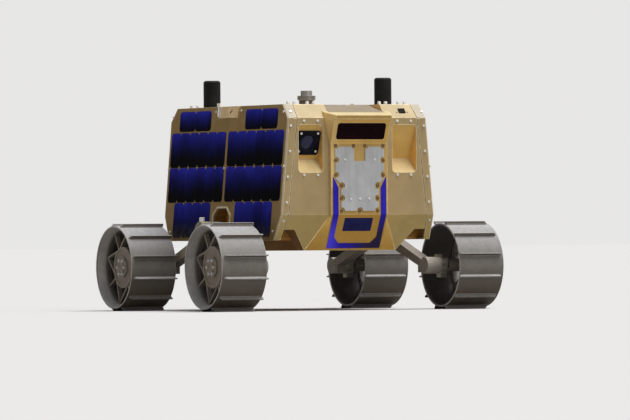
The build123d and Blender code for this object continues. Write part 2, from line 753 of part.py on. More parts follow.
# Band: a U laid over the fold of the fascia
band_low = KEEL_Z + BAND_BOTTOM_RISE
band_inner_x = BAND_OUTER_HALF_WIDTH - BAND_WIDTH
band_inner_z = band_low + BAND_BOTTOM_WIDTH
band_right = [
    (band_inner_x - BAND_INNER_CHAMFER_X, band_inner_z),
    (band_inner_x, band_inner_z + BAND_INNER_CHAMFER_Z),
    (band_inner_x, ROOF_Z - BAND_SHOULDER_DROP),
    (BAND_OUTER_HALF_WIDTH, ROOF_Z - BAND_APEX_DROP),
    (BAND_OUTER_HALF_WIDTH, band_low),
]
band_outline = prism_y(
    band_right + [(-x, z) for x, z in reversed(band_right)],
    FASCIA_Y - BAND_THICKNESS,
    -COVER_Y,
)
band_skin = prism_x(
    [
        (FASCIA_Y, ROOF_Z - BAND_APEX_DROP),
        (FASCIA_Y, CHIN_Z),
        (chin_front_y, KEEL_Z),
        (chin_front_y - BAND_THICKNESS, KEEL_Z),
        (FASCIA_Y - BAND_THICKNESS, CHIN_Z),
        (FASCIA_Y - BAND_THICKNESS, ROOF_Z - BAND_APEX_DROP),
    ],
    -FASCIA_HALF_WIDTH,
    FASCIA_HALF_WIDTH,
)
save(band_outline & band_skin, "fascia_band")

# Inner body, belly pan with its keel, and roof deck
deck_bottom = ROOF_Z - DECK_SHEET
belly_top = BELLY_Z + SHEET


def inner_x(z):
    """Half width inside the side frames."""
    return side_x(z) - SHEET


core = prism_y(
    [
        (-inner_x(deck_bottom), deck_bottom),
        (inner_x(deck_bottom), deck_bottom),
        (inner_x(belly_top), belly_top),
        (-inner_x(belly_top), belly_top),
    ],
    -COVER_Y,
    COVER_Y,
)
ramp_room = prism_x(
    [
        (ramp_rear_y, ROOF_Z),
        (ramp_rear_y, ROOF_Z - RAMP_SHEET),
        (FRONT_Y, ramp_z(FRONT_Y) - RAMP_SHEET),
        (FRONT_Y, ROOF_Z),
    ],
    -FASCIA_HALF_WIDTH,
    FASCIA_HALF_WIDTH,
)
core = core - ramp_room
pocket_x = inner_x(BELLY_Z + ARCH_HEIGHT) - ARCH_POCKET_DEPTH
pocket = prism_x(arch, pocket_x, WIDE)
core = core - pocket - mirrored(pocket)
shaft_seat = cylinder_x(PIVOT_SHAFT_RADIUS, pocket_x - AXLE_GRIP, WIDE, 0, PIVOT_Z)
core = core - shaft_seat - mirrored(shaft_seat)
deck_holes = []
for sx in (-1, 1):
    for sy in (-1, 1):
        deck_holes.append(
            cylinder_z(
                DECK_HOLE_RADIUS,
                ROOF_Z - 6 * DECK_SHEET,
                ROOF_Z + DECK_SHEET,
                sx * DECK_HOLE_SPACING_X / 2,
                DECK_HOLE_CENTRE_Y + sy * DECK_HOLE_SPACING_Y / 2,
            )
        )
for hole in deck_holes:
    core = core - hole


def bay(y0, y1):
    """The part of the inner body between two places along the body."""
    room = prism_x([(y0, BELLY_Z), (y0, ROOF_Z), (y1, ROOF_Z), (y1, BELLY_Z)], -WIDE, WIDE)
    return core & room


bays = [
    bay(-COVER_Y, -ARCH_HALF_WIDTH),
    bay(-ARCH_HALF_WIDTH, ARCH_HALF_WIDTH),
    bay(ARCH_HALF_WIDTH, COVER_Y),
]
save(Compound(bays), "inner_body")

belly = prism_y(
    [
        (-inner_x(belly_top), belly_top),
        (inner_x(belly_top), belly_top),
        (inner_x(BELLY_Z), BELLY_Z),
        (-inner_x(BELLY_Z), BELLY_Z),
    ],
    -COVER_Y,
    COVER_Y,
)
keel = prism_x(
    [
        (-COVER_Y, BELLY_Z),
        (-COVER_Y, KEEL_Z),
        (COVER_Y - KEEL_DROP, KEEL_Z),
        (COVER_Y, BELLY_Z),
    ],
    -KEEL_HALF_WIDTH,
    KEEL_HALF_WIDTH,
)
belly = belly + keel - pocket - mirrored(pocket)
save(belly, "belly_pan")

deck = deck_room & prism_y(
    [
        (-seam_x(ROOF_Z), ROOF_Z),
        (seam_x(ROOF_Z), ROOF_Z),
        (seam_x(ROOF_Z), deck_bottom),
        (-seam_x(ROOF_Z), deck_bottom),
    ],
    -DECK_EDGE_Y,
    DECK_EDGE_Y,
)
deck_middle = prism_y(
    [
        (-side_x(ROOF_Z), ROOF_Z),
        (side_x(ROOF_Z), ROOF_Z),
        (inner_x(deck_bottom), deck_bottom),
        (-inner_x(deck_bottom), deck_bottom),
    ],
    -COVER_Y,
    COVER_Y,
)
notch_room = notch & side_slab(-SHEET, SHEET)
deck = (deck + deck_middle) - ramp_room - side_frame - mirrored(side_frame)
deck = deck - notch_room - mirrored(notch_room)
for hole in deck_holes:
    deck = deck - hole
save(deck, "roof_deck")

# Camera: a square plate with a conical bezel, and the lens at its bottom
camera_plate = extrude(
    camera_place * RectangleRounded(CAMERA_PLATE_SIZE, CAMERA_PLATE_SIZE, CAMERA_PLATE_CORNER),
    amount=CAMERA_PLATE_THICKNESS,
)
lens_face = CAMERA_PLATE_THICKNESS - BEZEL_DEPTH
bezel = loft(
    [
        camera_place.offset(lens_face) * Circle(LENS_RADIUS),
        camera_place.offset(CAMERA_PLATE_THICKNESS) * Circle(BEZEL_RADIUS),
    ]
)
lens_seat = camera_disc(LENS_RADIUS, lens_face - LENS_LENGTH, LENS_LENGTH)
camera_body = camera_plate + camera_room - bezel - lens_seat
save(camera_body, "camera_body")
dome_radius = (LENS_RADIUS**2 + LENS_DOME**2) / (2 * LENS_DOME)
dome = camera_place * Pos(0, 0, lens_face + LENS_DOME - dome_radius) * Sphere(dome_radius)
lens_dome = dome & camera_disc(LENS_RADIUS, lens_face, LENS_DOME)
save(lens_seat + lens_dome, "camera_lens")

# Roof equipment: two antennas on one diagonal and a round connector
antenna = cylinder_z(ANTENNA_RADIUS, ROOF_Z, ROOF_Z + ANTENNA_HEIGHT, ANTENNA_X, -ANTENNA_Y)
antenna = chamfer(antenna.edges().group_by(Axis.Z)[-1], ANTENNA_EDGE)
save(antenna, "antenna_front")
save(Rot(0, 0, 180) * antenna, "antenna_rear")
flange_z = ROOF_Z + CONNECTOR_BASE_HEIGHT
connector_top_z = flange_z + CONNECTOR_FLANGE_HEIGHT
connector_end_z = connector_top_z + CONNECTOR_TOP_HEIGHT
connector = (
    cylinder_z(CONNECTOR_BASE_RADIUS, ROOF_Z, flange_z, 0, CONNECTOR_Y)
    + cylinder_z(CONNECTOR_FLANGE_RADIUS, flange_z, connector_top_z, 0, CONNECTOR_Y)
    + cylinder_z(CONNECTOR_TOP_RADIUS, connector_top_z, connector_end_z, 0, CONNECTOR_Y)
)
connector = connector - cylinder_z(
    CONNECTOR_BORE_RADIUS, connector_end_z - CONNECTOR_BORE_DEPTH, connector_end_z, 0, CONNECTOR_Y
)
save(connector, "roof_connector")

# Side brackets: a thin back in the notch, a machined block with a slot, and a T-shaped standoff
bracket_back = notch & side_slab(-SHEET, -SHEET + BRACKET_BACK_THICKNESS)
block_front_y = -NOTCH_HALF_LENGTH + BRACKET_BLOCK_FRONT_SETBACK
block_rear_y = NOTCH_HALF_LENGTH - BRACKET_BLOCK_REAR_SETBACK
block_low_z = ROOF_Z - NOTCH_DROP
block_room = prism_x(
    [
        (block_front_y, block_low_z),
        (block_front_y, ROOF_Z),
        (block_rear_y + BRACKET_BLOCK_LEAN, ROOF_Z),
        (block_rear_y, block_low_z),
    ],
    0,
    WIDE,
)
block = notch & block_room & side_slab(-SHEET, BRACKET_BLOCK_PROUD)
slot_plane = slope_plane * Pos((block_front_y + block_rear_y) / 2, -NOTCH_DROP / 2)
slot = extrude(
    slot_plane * Rot(0, 0, -BRACKET_SLOT_TURN) * SlotOverall(BRACKET_SLOT_LENGTH, BRACKET_SLOT_WIDTH),
    amount=2 * SHEET,
    both=True,
)
standoff_y = NOTCH_HALF_LENGTH - STANDOFF_WIDTH
stem_room = prism_x(
    [
        (standoff_y, block_low_z + NOTCH_CORNER),
        (standoff_y, ROOF_Z),
        (standoff_y + STANDOFF_WIDTH, ROOF_Z),
        (standoff_y + STANDOFF_WIDTH, block_low_z + NOTCH_CORNER),
    ],
    0,
    WIDE,
)
stem = stem_room & side_slab(-SHEET, STANDOFF_THICKNESS - SHEET)
head_rear_y = standoff_y + (STANDOFF_WIDTH + STANDOFF_HEAD_WIDTH) / 2
head_front_y = head_rear_y - STANDOFF_HEAD_WIDTH
head = prism_x(
    [
        (head_front_y, ROOF_Z),
        (head_front_y, ROOF_Z + STANDOFF_HEAD_HEIGHT),
        (head_rear_y, ROOF_Z + STANDOFF_HEAD_HEIGHT),
        (head_rear_y, ROOF_Z),
    ],
    side_x(ROOF_Z) - SHEET,
    side_x(ROOF_Z) - SHEET + STANDOFF_THICKNESS,
)
bracket = bracket_back + block - slot + stem + head
save(bracket, "side_bracket_left")
save(mirrored(bracket), "side_bracket_right")

# Rocker arms, +X side
rocker_outer_x = ROCKER_INNER_X + ROCKER_WIDTH
half_pivot = ROCKER_ARM_PIVOT_HEIGHT / 2
half_end = ROCKER_ARM_END_HEIGHT / 2
arm_length = math.hypot(WHEEL_Y, ROCKER_PIVOT_ABOVE_AXLE)
arm_ny = ROCKER_PIVOT_ABOVE_AXLE / arm_length
arm_nz = WHEEL_Y / arm_length
arm_points = [
    (0, PIVOT_Z + half_pivot / arm_nz),
    (-WHEEL_Y - half_end * arm_ny, AXLE_Z + half_end * arm_nz),
    (-WHEEL_Y + half_end * arm_ny, AXLE_Z - half_end * arm_nz),
    (0, PIVOT_Z - half_pivot / arm_nz),
    (WHEEL_Y - half_end * arm_ny, AXLE_Z - half_end * arm_nz),
    (WHEEL_Y + half_end * arm_ny, AXLE_Z + half_end * arm_nz),
]
rocker = prism_x(arm_points, ROCKER_INNER_X, rocker_outer_x)
hub_face_x = rocker_outer_x + PIVOT_HUB_REACH
rocker = rocker + cylinder_x(PIVOT_HUB_RADIUS, ROCKER_INNER_X, hub_face_x, 0, PIVOT_Z)
ear_top_z = AXLE_Z - CLAMP_EAR_DROP + CLAMP_EAR_HEIGHT / 2
ear_end_y = WHEEL_Y - ROCKER_END_RADIUS - CLAMP_EAR_REACH
for end in (-1, 1):
    rocker = rocker + cylinder_x(ROCKER_END_RADIUS, ROCKER_INNER_X, rocker_outer_x, end * WHEEL_Y, AXLE_Z)
    rocker = rocker + prism_x(
        [
            (end * WHEEL_Y, ear_top_z),
            (end * ear_end_y, ear_top_z),
            (end * ear_end_y, ear_top_z - CLAMP_EAR_HEIGHT),
            (end * WHEEL_Y, ear_top_z - CLAMP_EAR_HEIGHT),
        ],
        ROCKER_INNER_X,
        rocker_outer_x,
    )
rocker = rocker - cylinder_x(PIVOT_SHAFT_RADIUS, ROCKER_INNER_X, hub_face_x, 0, PIVOT_Z)
save(rocker, "rocker_left")
save(mirrored(rocker), "rocker_right")
shaft = cylinder_x(PIVOT_SHAFT_RADIUS, pocket_x - AXLE_GRIP, hub_face_x, 0, PIVOT_Z)
shaft = shaft + cylinder_x(
    PIVOT_CAP_RADIUS, hub_face_x, hub_face_x + PIVOT_CAP_THICKNESS, 0, PIVOT_Z
)
save(shaft, "pivot_shaft_left")
save(mirrored(shaft), "pivot_shaft_right")

# Wheel, +X side, in place at y = 0: drum with grousers, and spider with the hub
wheel_in_x = WHEEL_X - DRUM_WIDTH / 2
wheel_out_x = WHEEL_X + DRUM_WIDTH / 2
spider_x = wheel_out_x - SPIDER_DEPTH
inner_radius = DRUM_RADIUS - DRUM_WALL
ring_radius = inner_radius - RING_HEIGHT
drum_section = make_face(
    Polyline(
        (wheel_in_x, DRUM_RADIUS),
        (wheel_out_x, DRUM_RADIUS),
        (wheel_out_x, inner_radius),
        (wheel_out_x - LIP_WIDTH, inner_radius),
        (spider_x, ring_radius),
        (spider_x - SPIDER_THICKNESS, ring_radius),
        (spider_x - SPIDER_THICKNESS, inner_radius),
        (wheel_in_x + LIP_WIDTH, inner_radius),
        (wheel_in_x, inner_radius - LIP_HEIGHT),
        close=True,
    )
)
drum = revolve(drum_section, Axis.X)
fin_out_x = wheel_out_x - GROUSER_OUTER_SETBACK
fin_in_x = wheel_in_x - GROUSER_INNER_OVERHANG
fin_base = DRUM_RADIUS - DRUM_WALL / 2
fin_side = Polyline(
    (fin_in_x, DRUM_RADIUS + GROUSER_HEIGHT / 2),
    (fin_in_x, GROUSER_TIP_RADIUS),
    (fin_out_x - GROUSER_CORNER, GROUSER_TIP_RADIUS),
    (fin_out_x, GROUSER_TIP_RADIUS - GROUSER_CORNER),
    (fin_out_x, fin_base),
    (wheel_in_x, fin_base),
    (wheel_in_x, DRUM_RADIUS),
    close=True,
)
fin = extrude(Plane.XZ * make_face(fin_side), amount=GROUSER_THICKNESS / 2, both=True)
foot = extrude(
    Plane.YZ.offset(wheel_in_x + LIP_WIDTH)
    * make_face(
        Polyline(
            (-GROUSER_FOOT, fin_base),
            (GROUSER_FOOT, fin_base),
            (GROUSER_THICKNESS / 2, DRUM_RADIUS + GROUSER_HEIGHT / 2),
            (-GROUSER_THICKNESS / 2, DRUM_RADIUS + GROUSER_HEIGHT / 2),
            close=True,
        )
    ),
    amount=fin_out_x - wheel_in_x - 2 * LIP_WIDTH,
    dir=(1, 0, 0),
)
grouser = fin + foot
grousers = [
    Rot(GROUSER_TURN + index * GROUSER_STEP, 0, 0) * grouser for index in range(GROUSER_COUNT)
]
drum = drum + grousers

disc_x = spider_x - HUB_DISC_SETBACK
tube_end_x = disc_x - HUB_TUBE_LENGTH
spider = cylinder_x(HUB_DISC_RADIUS, disc_x - HUB_DISC_THICKNESS, disc_x, 0, 0)
spider = spider + cylinder_x(HUB_DISC_RADIUS, disc_x, disc_x + HUB_RIM_HEIGHT, 0, 0)
spider = spider - cylinder_x(
    HUB_DISC_RADIUS - HUB_RIM_WIDTH, disc_x, disc_x + HUB_RIM_HEIGHT, 0, 0
)
spider = spider + cylinder_x(BOSS_RADIUS, disc_x, disc_x + BOSS_HEIGHT, 0, 0)
spider = spider + cylinder_x(CAP_RADIUS, disc_x, disc_x + BOSS_HEIGHT + CAP_HEIGHT, 0, 0)
spider = spider + cylinder_x(HUB_TUBE_RADIUS, tube_end_x, disc_x, 0, 0)


def spoke(angle_in, angle_out):
    """A rib from a point on the hub disc to a point on the ring."""
    a = math.radians(angle_in)
    b = math.radians(angle_out)
    y0, z0 = SPOKE_NODE_RADIUS * math.cos(a), SPOKE_NODE_RADIUS * math.sin(a)
    y1, z1 = ring_radius * math.cos(b), ring_radius * math.sin(b)
    length = math.hypot(y1 - y0, z1 - z0)
    turn = math.degrees(math.atan2(z1 - z0, y1 - y0))
    place = Plane.YZ.offset(spider_x - SPIDER_THICKNESS) * Pos(y0, z0) * Rot(0, 0, turn)
    rib = place * Pos(length / 2, 0) * Rectangle(length + SPOKE_WIDTH, SPOKE_WIDTH)
    return extrude(rib, amount=SPIDER_THICKNESS - HUB_DISC_SETBACK, dir=(1, 0, 0))


for quarter in range(4):
    node = GROUSER_TURN + 45 + 90 * quarter
    for step in (-45, 0, 45):
        spider = spider + spoke(node, node + step)
ring_room = cylinder_x(ring_radius, tube_end_x, wheel_out_x, 0, 0)
spider = spider & ring_room
axle_bore = cylinder_x(
    AXLE_RADIUS + AXLE_RUNNING_CLEARANCE, tube_end_x, disc_x - HUB_DISC_THICKNESS, 0, 0
)
spider = spider - axle_bore

# Drive unit, +X side, at y = 0
motor_end_x = rocker_outer_x + MOTOR_LENGTH
flange_x = motor_end_x - FLANGE_THICKNESS
motor = cylinder_x(MOTOR_RADIUS, rocker_outer_x, flange_x, 0, 0)
motor = motor + cylinder_x(FLANGE_RADIUS, flange_x, motor_end_x, 0, 0)
flange_notch = prism_x(
    [
        (-FLANGE_NOTCH_WIDTH / 2, FLANGE_RADIUS - FLANGE_NOTCH_DEPTH),
        (-FLANGE_NOTCH_WIDTH / 2, FLANGE_RADIUS + FLANGE_NOTCH_DEPTH),
        (FLANGE_NOTCH_WIDTH / 2, FLANGE_RADIUS + FLANGE_NOTCH_DEPTH),
        (FLANGE_NOTCH_WIDTH / 2, FLANGE_RADIUS - FLANGE_NOTCH_DEPTH),
    ],
    flange_x + FLANGE_RIM,
    motor_end_x - FLANGE_RIM,
)
for index in range(FLANGE_NOTCH_COUNT):
    motor = motor - Rot((index + 0.5) * 360.0 / FLANGE_NOTCH_COUNT, 0, 0) * flange_notch
# light clamp block over the flange's core, and the clamp's lower half under it
for half_width, low, top in (
    (FLANGE_BLOCK_HALF_WIDTH, FLANGE_BLOCK_LOW, FLANGE_BLOCK_TOP),
    (CLAMP_BLOCK_HALF_WIDTH, -CLAMP_BLOCK_DROP, -FLANGE_RADIUS + FLANGE_NOTCH_DEPTH),
):
    motor = motor + prism_x(
        [(-half_width, low), (-half_width, top), (half_width, top), (half_width, low)],
        flange_x,
        motor_end_x,
    )
gland_x = flange_x - GLAND_LENGTH / 2
gland_z = MOTOR_RADIUS + GLAND_HEIGHT
motor = motor + prism_x(
    [
        (-GLAND_WIDTH / 2, 0),
        (-GLAND_WIDTH / 2, gland_z),
        (GLAND_WIDTH / 2, gland_z),
        (GLAND_WIDTH / 2, 0),
    ],
    gland_x,
    gland_x + GLAND_LENGTH,
)
axle = cylinder_x(AXLE_RADIUS, motor_end_x, disc_x - HUB_DISC_THICKNESS - AXLE_END_GAP, 0, 0)

# corners: name, side of the body, end of the body
corners = [
    ("front_left", 1, -1),
    ("front_right", -1, -1),
    ("rear_left", 1, 1),
    ("rear_right", -1, 1),
]
for name, side, end in corners:
    for piece, label in (
        (drum, "wheel_drum_"),
        (spider, "wheel_hub_"),
        (motor, "drive_motor_"),
        (axle, "drive_axle_"),
    ):
        placed = Pos(0, end * WHEEL_Y, AXLE_Z) * piece
        if side < 0:
            placed = mirrored(placed)
        save(placed, label + name)
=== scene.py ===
import json
import math

import bmesh
import bpy
from mathutils import Matrix, Vector


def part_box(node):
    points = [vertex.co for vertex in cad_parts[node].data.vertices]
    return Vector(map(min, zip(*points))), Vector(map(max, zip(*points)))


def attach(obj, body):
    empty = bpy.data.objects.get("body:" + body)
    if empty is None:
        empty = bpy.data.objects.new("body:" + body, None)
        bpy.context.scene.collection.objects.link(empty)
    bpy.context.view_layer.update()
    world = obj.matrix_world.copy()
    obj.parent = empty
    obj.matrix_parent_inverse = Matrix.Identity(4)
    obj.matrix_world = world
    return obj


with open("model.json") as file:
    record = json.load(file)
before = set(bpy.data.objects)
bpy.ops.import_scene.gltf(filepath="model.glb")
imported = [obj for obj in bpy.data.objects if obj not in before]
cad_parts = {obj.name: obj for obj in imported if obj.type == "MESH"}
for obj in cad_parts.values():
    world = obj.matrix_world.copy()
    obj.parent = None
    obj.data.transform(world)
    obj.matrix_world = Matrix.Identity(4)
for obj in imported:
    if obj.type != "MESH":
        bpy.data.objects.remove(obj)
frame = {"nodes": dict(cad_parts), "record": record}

bl_info = {
    "name": "Planetary Rover Prototype",
    "version": (1, 0, 0),
    "blender": (4, 5, 0),
    "location": "3D Viewport > Sidebar > Rover",
    "description": "Finishes, fasteners and studio for a four-wheeled rover prototype",
    "category": "Object",
}

# One millimetre, in Blender's metres
MM = 0.001

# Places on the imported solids, in millimetres, for the pieces that sit on them
ROOF_Z = 402.95
FRONT_Y = -258.0
FASCIA_Y = -264.5
CHIN_Z = 186.95
CHIN_SLOPE = 0.476
AXLE_Z = 86.45
WHEEL_Y = 200.0
PIVOT_Z = 152.45
HUB_FACE_X = 291.5
PIVOT_SCREW_X = 212.4
ROOF_HALF_WIDTH = 150.0
SIDE_LEAN = 0.085
NICHE_ACROSS = (75.0, 131.0)
NICHE_DEEP = (-257.6, -200.0)
PLATE_THICK = 2.0
CORNERS = ("front_left", "front_right", "rear_left", "rear_right")

# How far the edge of a mask is blurred, in millimetres
MASK_BLUR = 0.1

# The rows of solar cells, in millimetres; the top row's cells lie on their side
CELL_TOP = 353.1
CELL_ROW = 69.65
CELL_COLUMN = 40.3
CELL_START = 4.85
LOWEST_ROW = (100.0, 213.0)
LOWEST_START = 49.0
TOP_ROW = (354.0, 420.0)
TOP_ROW_TOP = 395.5
TOP_ROW_TALL = 48.0
FINGER_PITCH = 1.9

# The ways that the screws face
FORWARD = Vector((0, -1, 0))
UPWARD = Vector((0, 0, 1))
BROW_FACING = Vector((0.0, -0.734, 0.679))
CHIN_FACING = Vector((0.0, -0.883, -0.469))
RAMP_FACING = Vector((0.0, -0.217, 0.976))


class RoverSizes(bpy.types.PropertyGroup):
    """Sizes of the fasteners and small fittings."""

    panel_screw_radius: bpy.props.FloatProperty(
        name="Panel screw", description="Radius of the bright panel screws' heads",
        default=2.6 * MM, min=0.5 * MM, max=6 * MM, unit="LENGTH", precision=5)
    panel_screw_height: bpy.props.FloatProperty(
        name="Panel screw height", description="How far a panel screw's head stands proud",
        default=1.7 * MM, min=0.2 * MM, max=4 * MM, unit="LENGTH", precision=5)
    fascia_screw_radius: bpy.props.FloatProperty(
        name="Fascia screw", description="Radius of the screws in the service plate's scallops",
        default=3.6 * MM, min=0.5 * MM, max=6 * MM, unit="LENGTH", precision=5)
    deck_screw_radius: bpy.props.FloatProperty(
        name="Deck screw", description="Radius of the standing screws on the deck",
        default=3.4 * MM, min=0.5 * MM, max=6 * MM, unit="LENGTH", precision=5)
    deck_screw_height: bpy.props.FloatProperty(
        name="Deck screw height", description="How far the standing screws rise above the deck",
        default=6.2 * MM, min=1 * MM, max=10 * MM, unit="LENGTH", precision=5)
    # Painted highlight too: the rubbed edges are painted paler to stand also for edge highlights
    edge_wear_and_highlight: bpy.props.FloatProperty(
        name="Edge wear", description="Width of the rubbed metal along the panels' edges",
        default=1.3 * MM, min=0.1 * MM, max=4 * MM, unit="LENGTH", precision=5)


class RoverColours(bpy.types.PropertyGroup):
    """Colours of the rover's finishes."""

    gold_panel: bpy.props.FloatVectorProperty(
        name="Gold panels", description="Matte gold anodised sheet of the body",
        default=(0.44, 0.325, 0.165), min=0, max=1, subtype="COLOR")
    # Painted highlight: pale gold laid on the sheets' faces that look up, for the light from above
    gold_top_highlight: bpy.props.FloatVectorProperty(
        name="Gold sheen", description="Pale gold where the sheets look up to the light",
        default=(0.60, 0.49, 0.30), min=0, max=1, subtype="COLOR")
    ramp: bpy.props.FloatVectorProperty(
        name="Roof ramp", description="Greyer sheet of the ramp in front of the deck",
        default=(0.28, 0.23, 0.165), min=0, max=1, subtype="COLOR")
    amber: bpy.props.FloatVectorProperty(
        name="Amber", description="Deeper gold of the inner panels",
        default=(0.46, 0.25, 0.060), min=0, max=1, subtype="COLOR")
    # Painted light: this warm colour stands for light bounced between the niches' gold walls
    niche: bpy.props.FloatVectorProperty(
        name="Niche walls", description="Warm gold of the walls in the two front niches",
        default=(0.78, 0.50, 0.155), min=0, max=1, subtype="COLOR")
    gold_fascia: bpy.props.FloatVectorProperty(
        name="Gold fascia", description="Richer satin gold of the fascia and the visor",
        default=(0.57, 0.37, 0.125), min=0, max=1, subtype="COLOR")
    # Painted reflection: each row of cells runs from this blue at its top to the dark colour below
    cell_blue: bpy.props.FloatVectorProperty(
        name="Solar cells", description="Blue of the solar cells where they catch the light",
        default=(0.040, 0.045, 0.56), min=0, max=1, subtype="COLOR")
    cell_dark: bpy.props.FloatVectorProperty(
        name="Solar cells, dark", description="Colour of the solar cells' darker end",
        default=(0.002, 0.002, 0.003), min=0, max=1, subtype="COLOR")
    window: bpy.props.FloatVectorProperty(
        name="Sensor window", description="Dark glass of the sensor window",
        default=(0.009, 0.0010, 0.0022), min=0, max=1, subtype="COLOR")
    plate: bpy.props.FloatVectorProperty(
        name="Service plate", description="Brushed plate in the middle of the fascia",
        default=(0.42, 0.425, 0.43), min=0, max=1, subtype="COLOR")
    band: bpy.props.FloatVectorProperty(
        name="Fascia band", description="Glossy blue band round the fascia's lower end",
        default=(0.022, 0.014, 0.42), min=0, max=1, subtype="COLOR")
    arms: bpy.props.FloatVectorProperty(
        name="Arms and drives", description="Bead-blasted metal of the arms and drive housings",
        default=(0.24, 0.205, 0.172), min=0, max=1, subtype="COLOR")
    wheels: bpy.props.FloatVectorProperty(
        name="Wheels", description="Grey coat of the wheels",
        default=(0.180, 0.165, 0.148), min=0, max=1, subtype="COLOR")
    # Dusty and painted highlight: this pale colour on upward faces stands for both
    dust: bpy.props.FloatVectorProperty(
        name="Dust", description="Pale dust that lies on upward faces",
        default=(0.40, 0.395, 0.40), min=0, max=1, subtype="COLOR")
    # Soiled and painted shade: this brown on downward faces stands for both
    dirt: bpy.props.FloatVectorProperty(
        name="Dirt", description="Brown dirt on faces that look down",
        default=(0.105, 0.082, 0.062), min=0, max=1, subtype="COLOR")
    screws: bpy.props.FloatVectorProperty(
        name="Screws", description="Bright plated screws",
        default=(0.84, 0.82, 0.79), min=0, max=1, subtype="COLOR")


class RoverStudio(bpy.types.PropertyGroup):
    """Light level and floor of the studio."""

    key_strength: bpy.props.FloatProperty(
        name="Key light", description="Strength of the wide soft light overhead",
        default=4.3, min=0, max=10)
    front_strength: bpy.props.FloatProperty(
        name="Front light", description="Strength of the weak soft light from in front",
        default=0.55, min=0, max=10)
    room_strength: bpy.props.FloatProperty(
        name="Room light", description="Strength of the even light from all sides",
        default=0.13, min=0, max=2)
    background: bpy.props.FloatProperty(
        name="Background", description="How bright the backdrop shows behind the rover",
        default=0.80, min=0, max=1)


# Modelling by hand: choosing, joining and placing


def let_go():
    """Leave edit mode and deselect everything."""
    if bpy.context.object and bpy.context.object.mode != "OBJECT":
        bpy.ops.object.mode_set(mode="OBJECT")
    bpy.ops.object.select_all(action="DESELECT")


def hold(pieces):
    """Select these pieces alone, the first one active."""
    let_go()
    for piece in pieces:
        piece.select_set(True)
    bpy.context.view_layer.objects.active = pieces[0]


def pick(piece, kind, wanted):
    """In edit mode, select the faces or edges that the test wants and nothing else."""
    shape = bmesh.from_edit_mesh(piece.data)
    bpy.ops.mesh.select_mode(type=kind)
    bpy.ops.mesh.select_all(action="DESELECT")
    chosen = 0
    for part in shape.faces if kind == "FACE" else shape.edges:
        keep = bool(wanted(part))
        part.select_set(keep)
        chosen += keep
    bmesh.update_edit_mesh(piece.data)
    if not chosen:
        raise RuntimeError(f"{piece.name}: nothing to work on")


def on_ring(edge, radius, height):
    """Whether an edge lies on the circle of that radius at that height."""
    for vertex in edge.verts:
        if abs(math.hypot(vertex.co.x, vertex.co.y) - radius) > 0.1 * MM:
            return False
        if abs(vertex.co.z - height) > 0.05 * MM:
            return False
    return True


def screw_head(name, radius, height, socket, round_rim=0.35, sides=18):
    """A screw's head on z = 0: a disc with a rounded rim and a recess for its driver."""
    recess_depth = 0.6 * height
    recess_step = 0.15 * socket
    tolerance = 0.01 * MM
    let_go()
    bpy.ops.mesh.primitive_cylinder_add(
        vertices=sides, radius=radius, depth=height, location=(0, 0, height / 2))
    bpy.ops.object.transform_apply(location=True, rotation=True, scale=True)
    head = bpy.context.object
    head.name = name
    bpy.ops.object.mode_set(mode="EDIT")
    pick(head, "FACE", lambda face: face.normal.z > 0.9)
    bpy.ops.mesh.inset(thickness=radius - socket)
    bpy.ops.mesh.extrude_region_move(
        TRANSFORM_OT_translate={"value": (0, 0, -recess_depth)})
    bpy.ops.mesh.inset(thickness=recess_step)
    pick(head, "EDGE", lambda edge: on_ring(edge, radius, height))
    bpy.ops.mesh.bevel(offset=round_rim * height, segments=2, affect="EDGES")
    pick(head, "FACE", lambda face: face.normal.z < -0.9 and face.calc_center_median().z < tolerance)
    bpy.ops.mesh.delete(type="FACE")
    bpy.ops.object.mode_set(mode="OBJECT")
    bpy.ops.object.shade_smooth_by_angle(angle=math.radians(35))
    return head


def spread(model, name, places):
    """Copy a model to each place and turn in a list, and join the copies into one piece."""
    copies = []
    for place, facing in places:
        copy = model.copy()
        copy.data = model.data.copy()
        bpy.context.collection.objects.link(copy)
        turn = Vector(facing).to_track_quat("Z", "Y").to_matrix().to_4x4()
        copy.matrix_world = Matrix.Translation(Vector(place) * MM) @ turn
        copies.append(copy)
    bpy.data.objects.remove(model)
    hold(copies)
    bpy.ops.object.transform_apply(location=True, rotation=True, scale=True)
    if len(copies) > 1:
        bpy.ops.object.join()
    piece = bpy.context.object
    piece.name = name
    piece.data.name = name
    let_go()
    return piece


def dress(piece, finish, body="chassis"):
    """Give a finished piece its material and the body that it rides on."""
    piece.data.materials.clear()
    piece.data.materials.append(finish)
    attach(piece, body)


def fasten(name, places, radius, height, socket, finish=None, slot="connector_silver",
           body="chassis", **shape):
    """Model one screw, copy it to its places and dress the joined piece."""
    model = screw_head(name, radius, height, socket, **shape)
    dress(spread(model, name, places), finish or screw_finish(), body)


# Materials


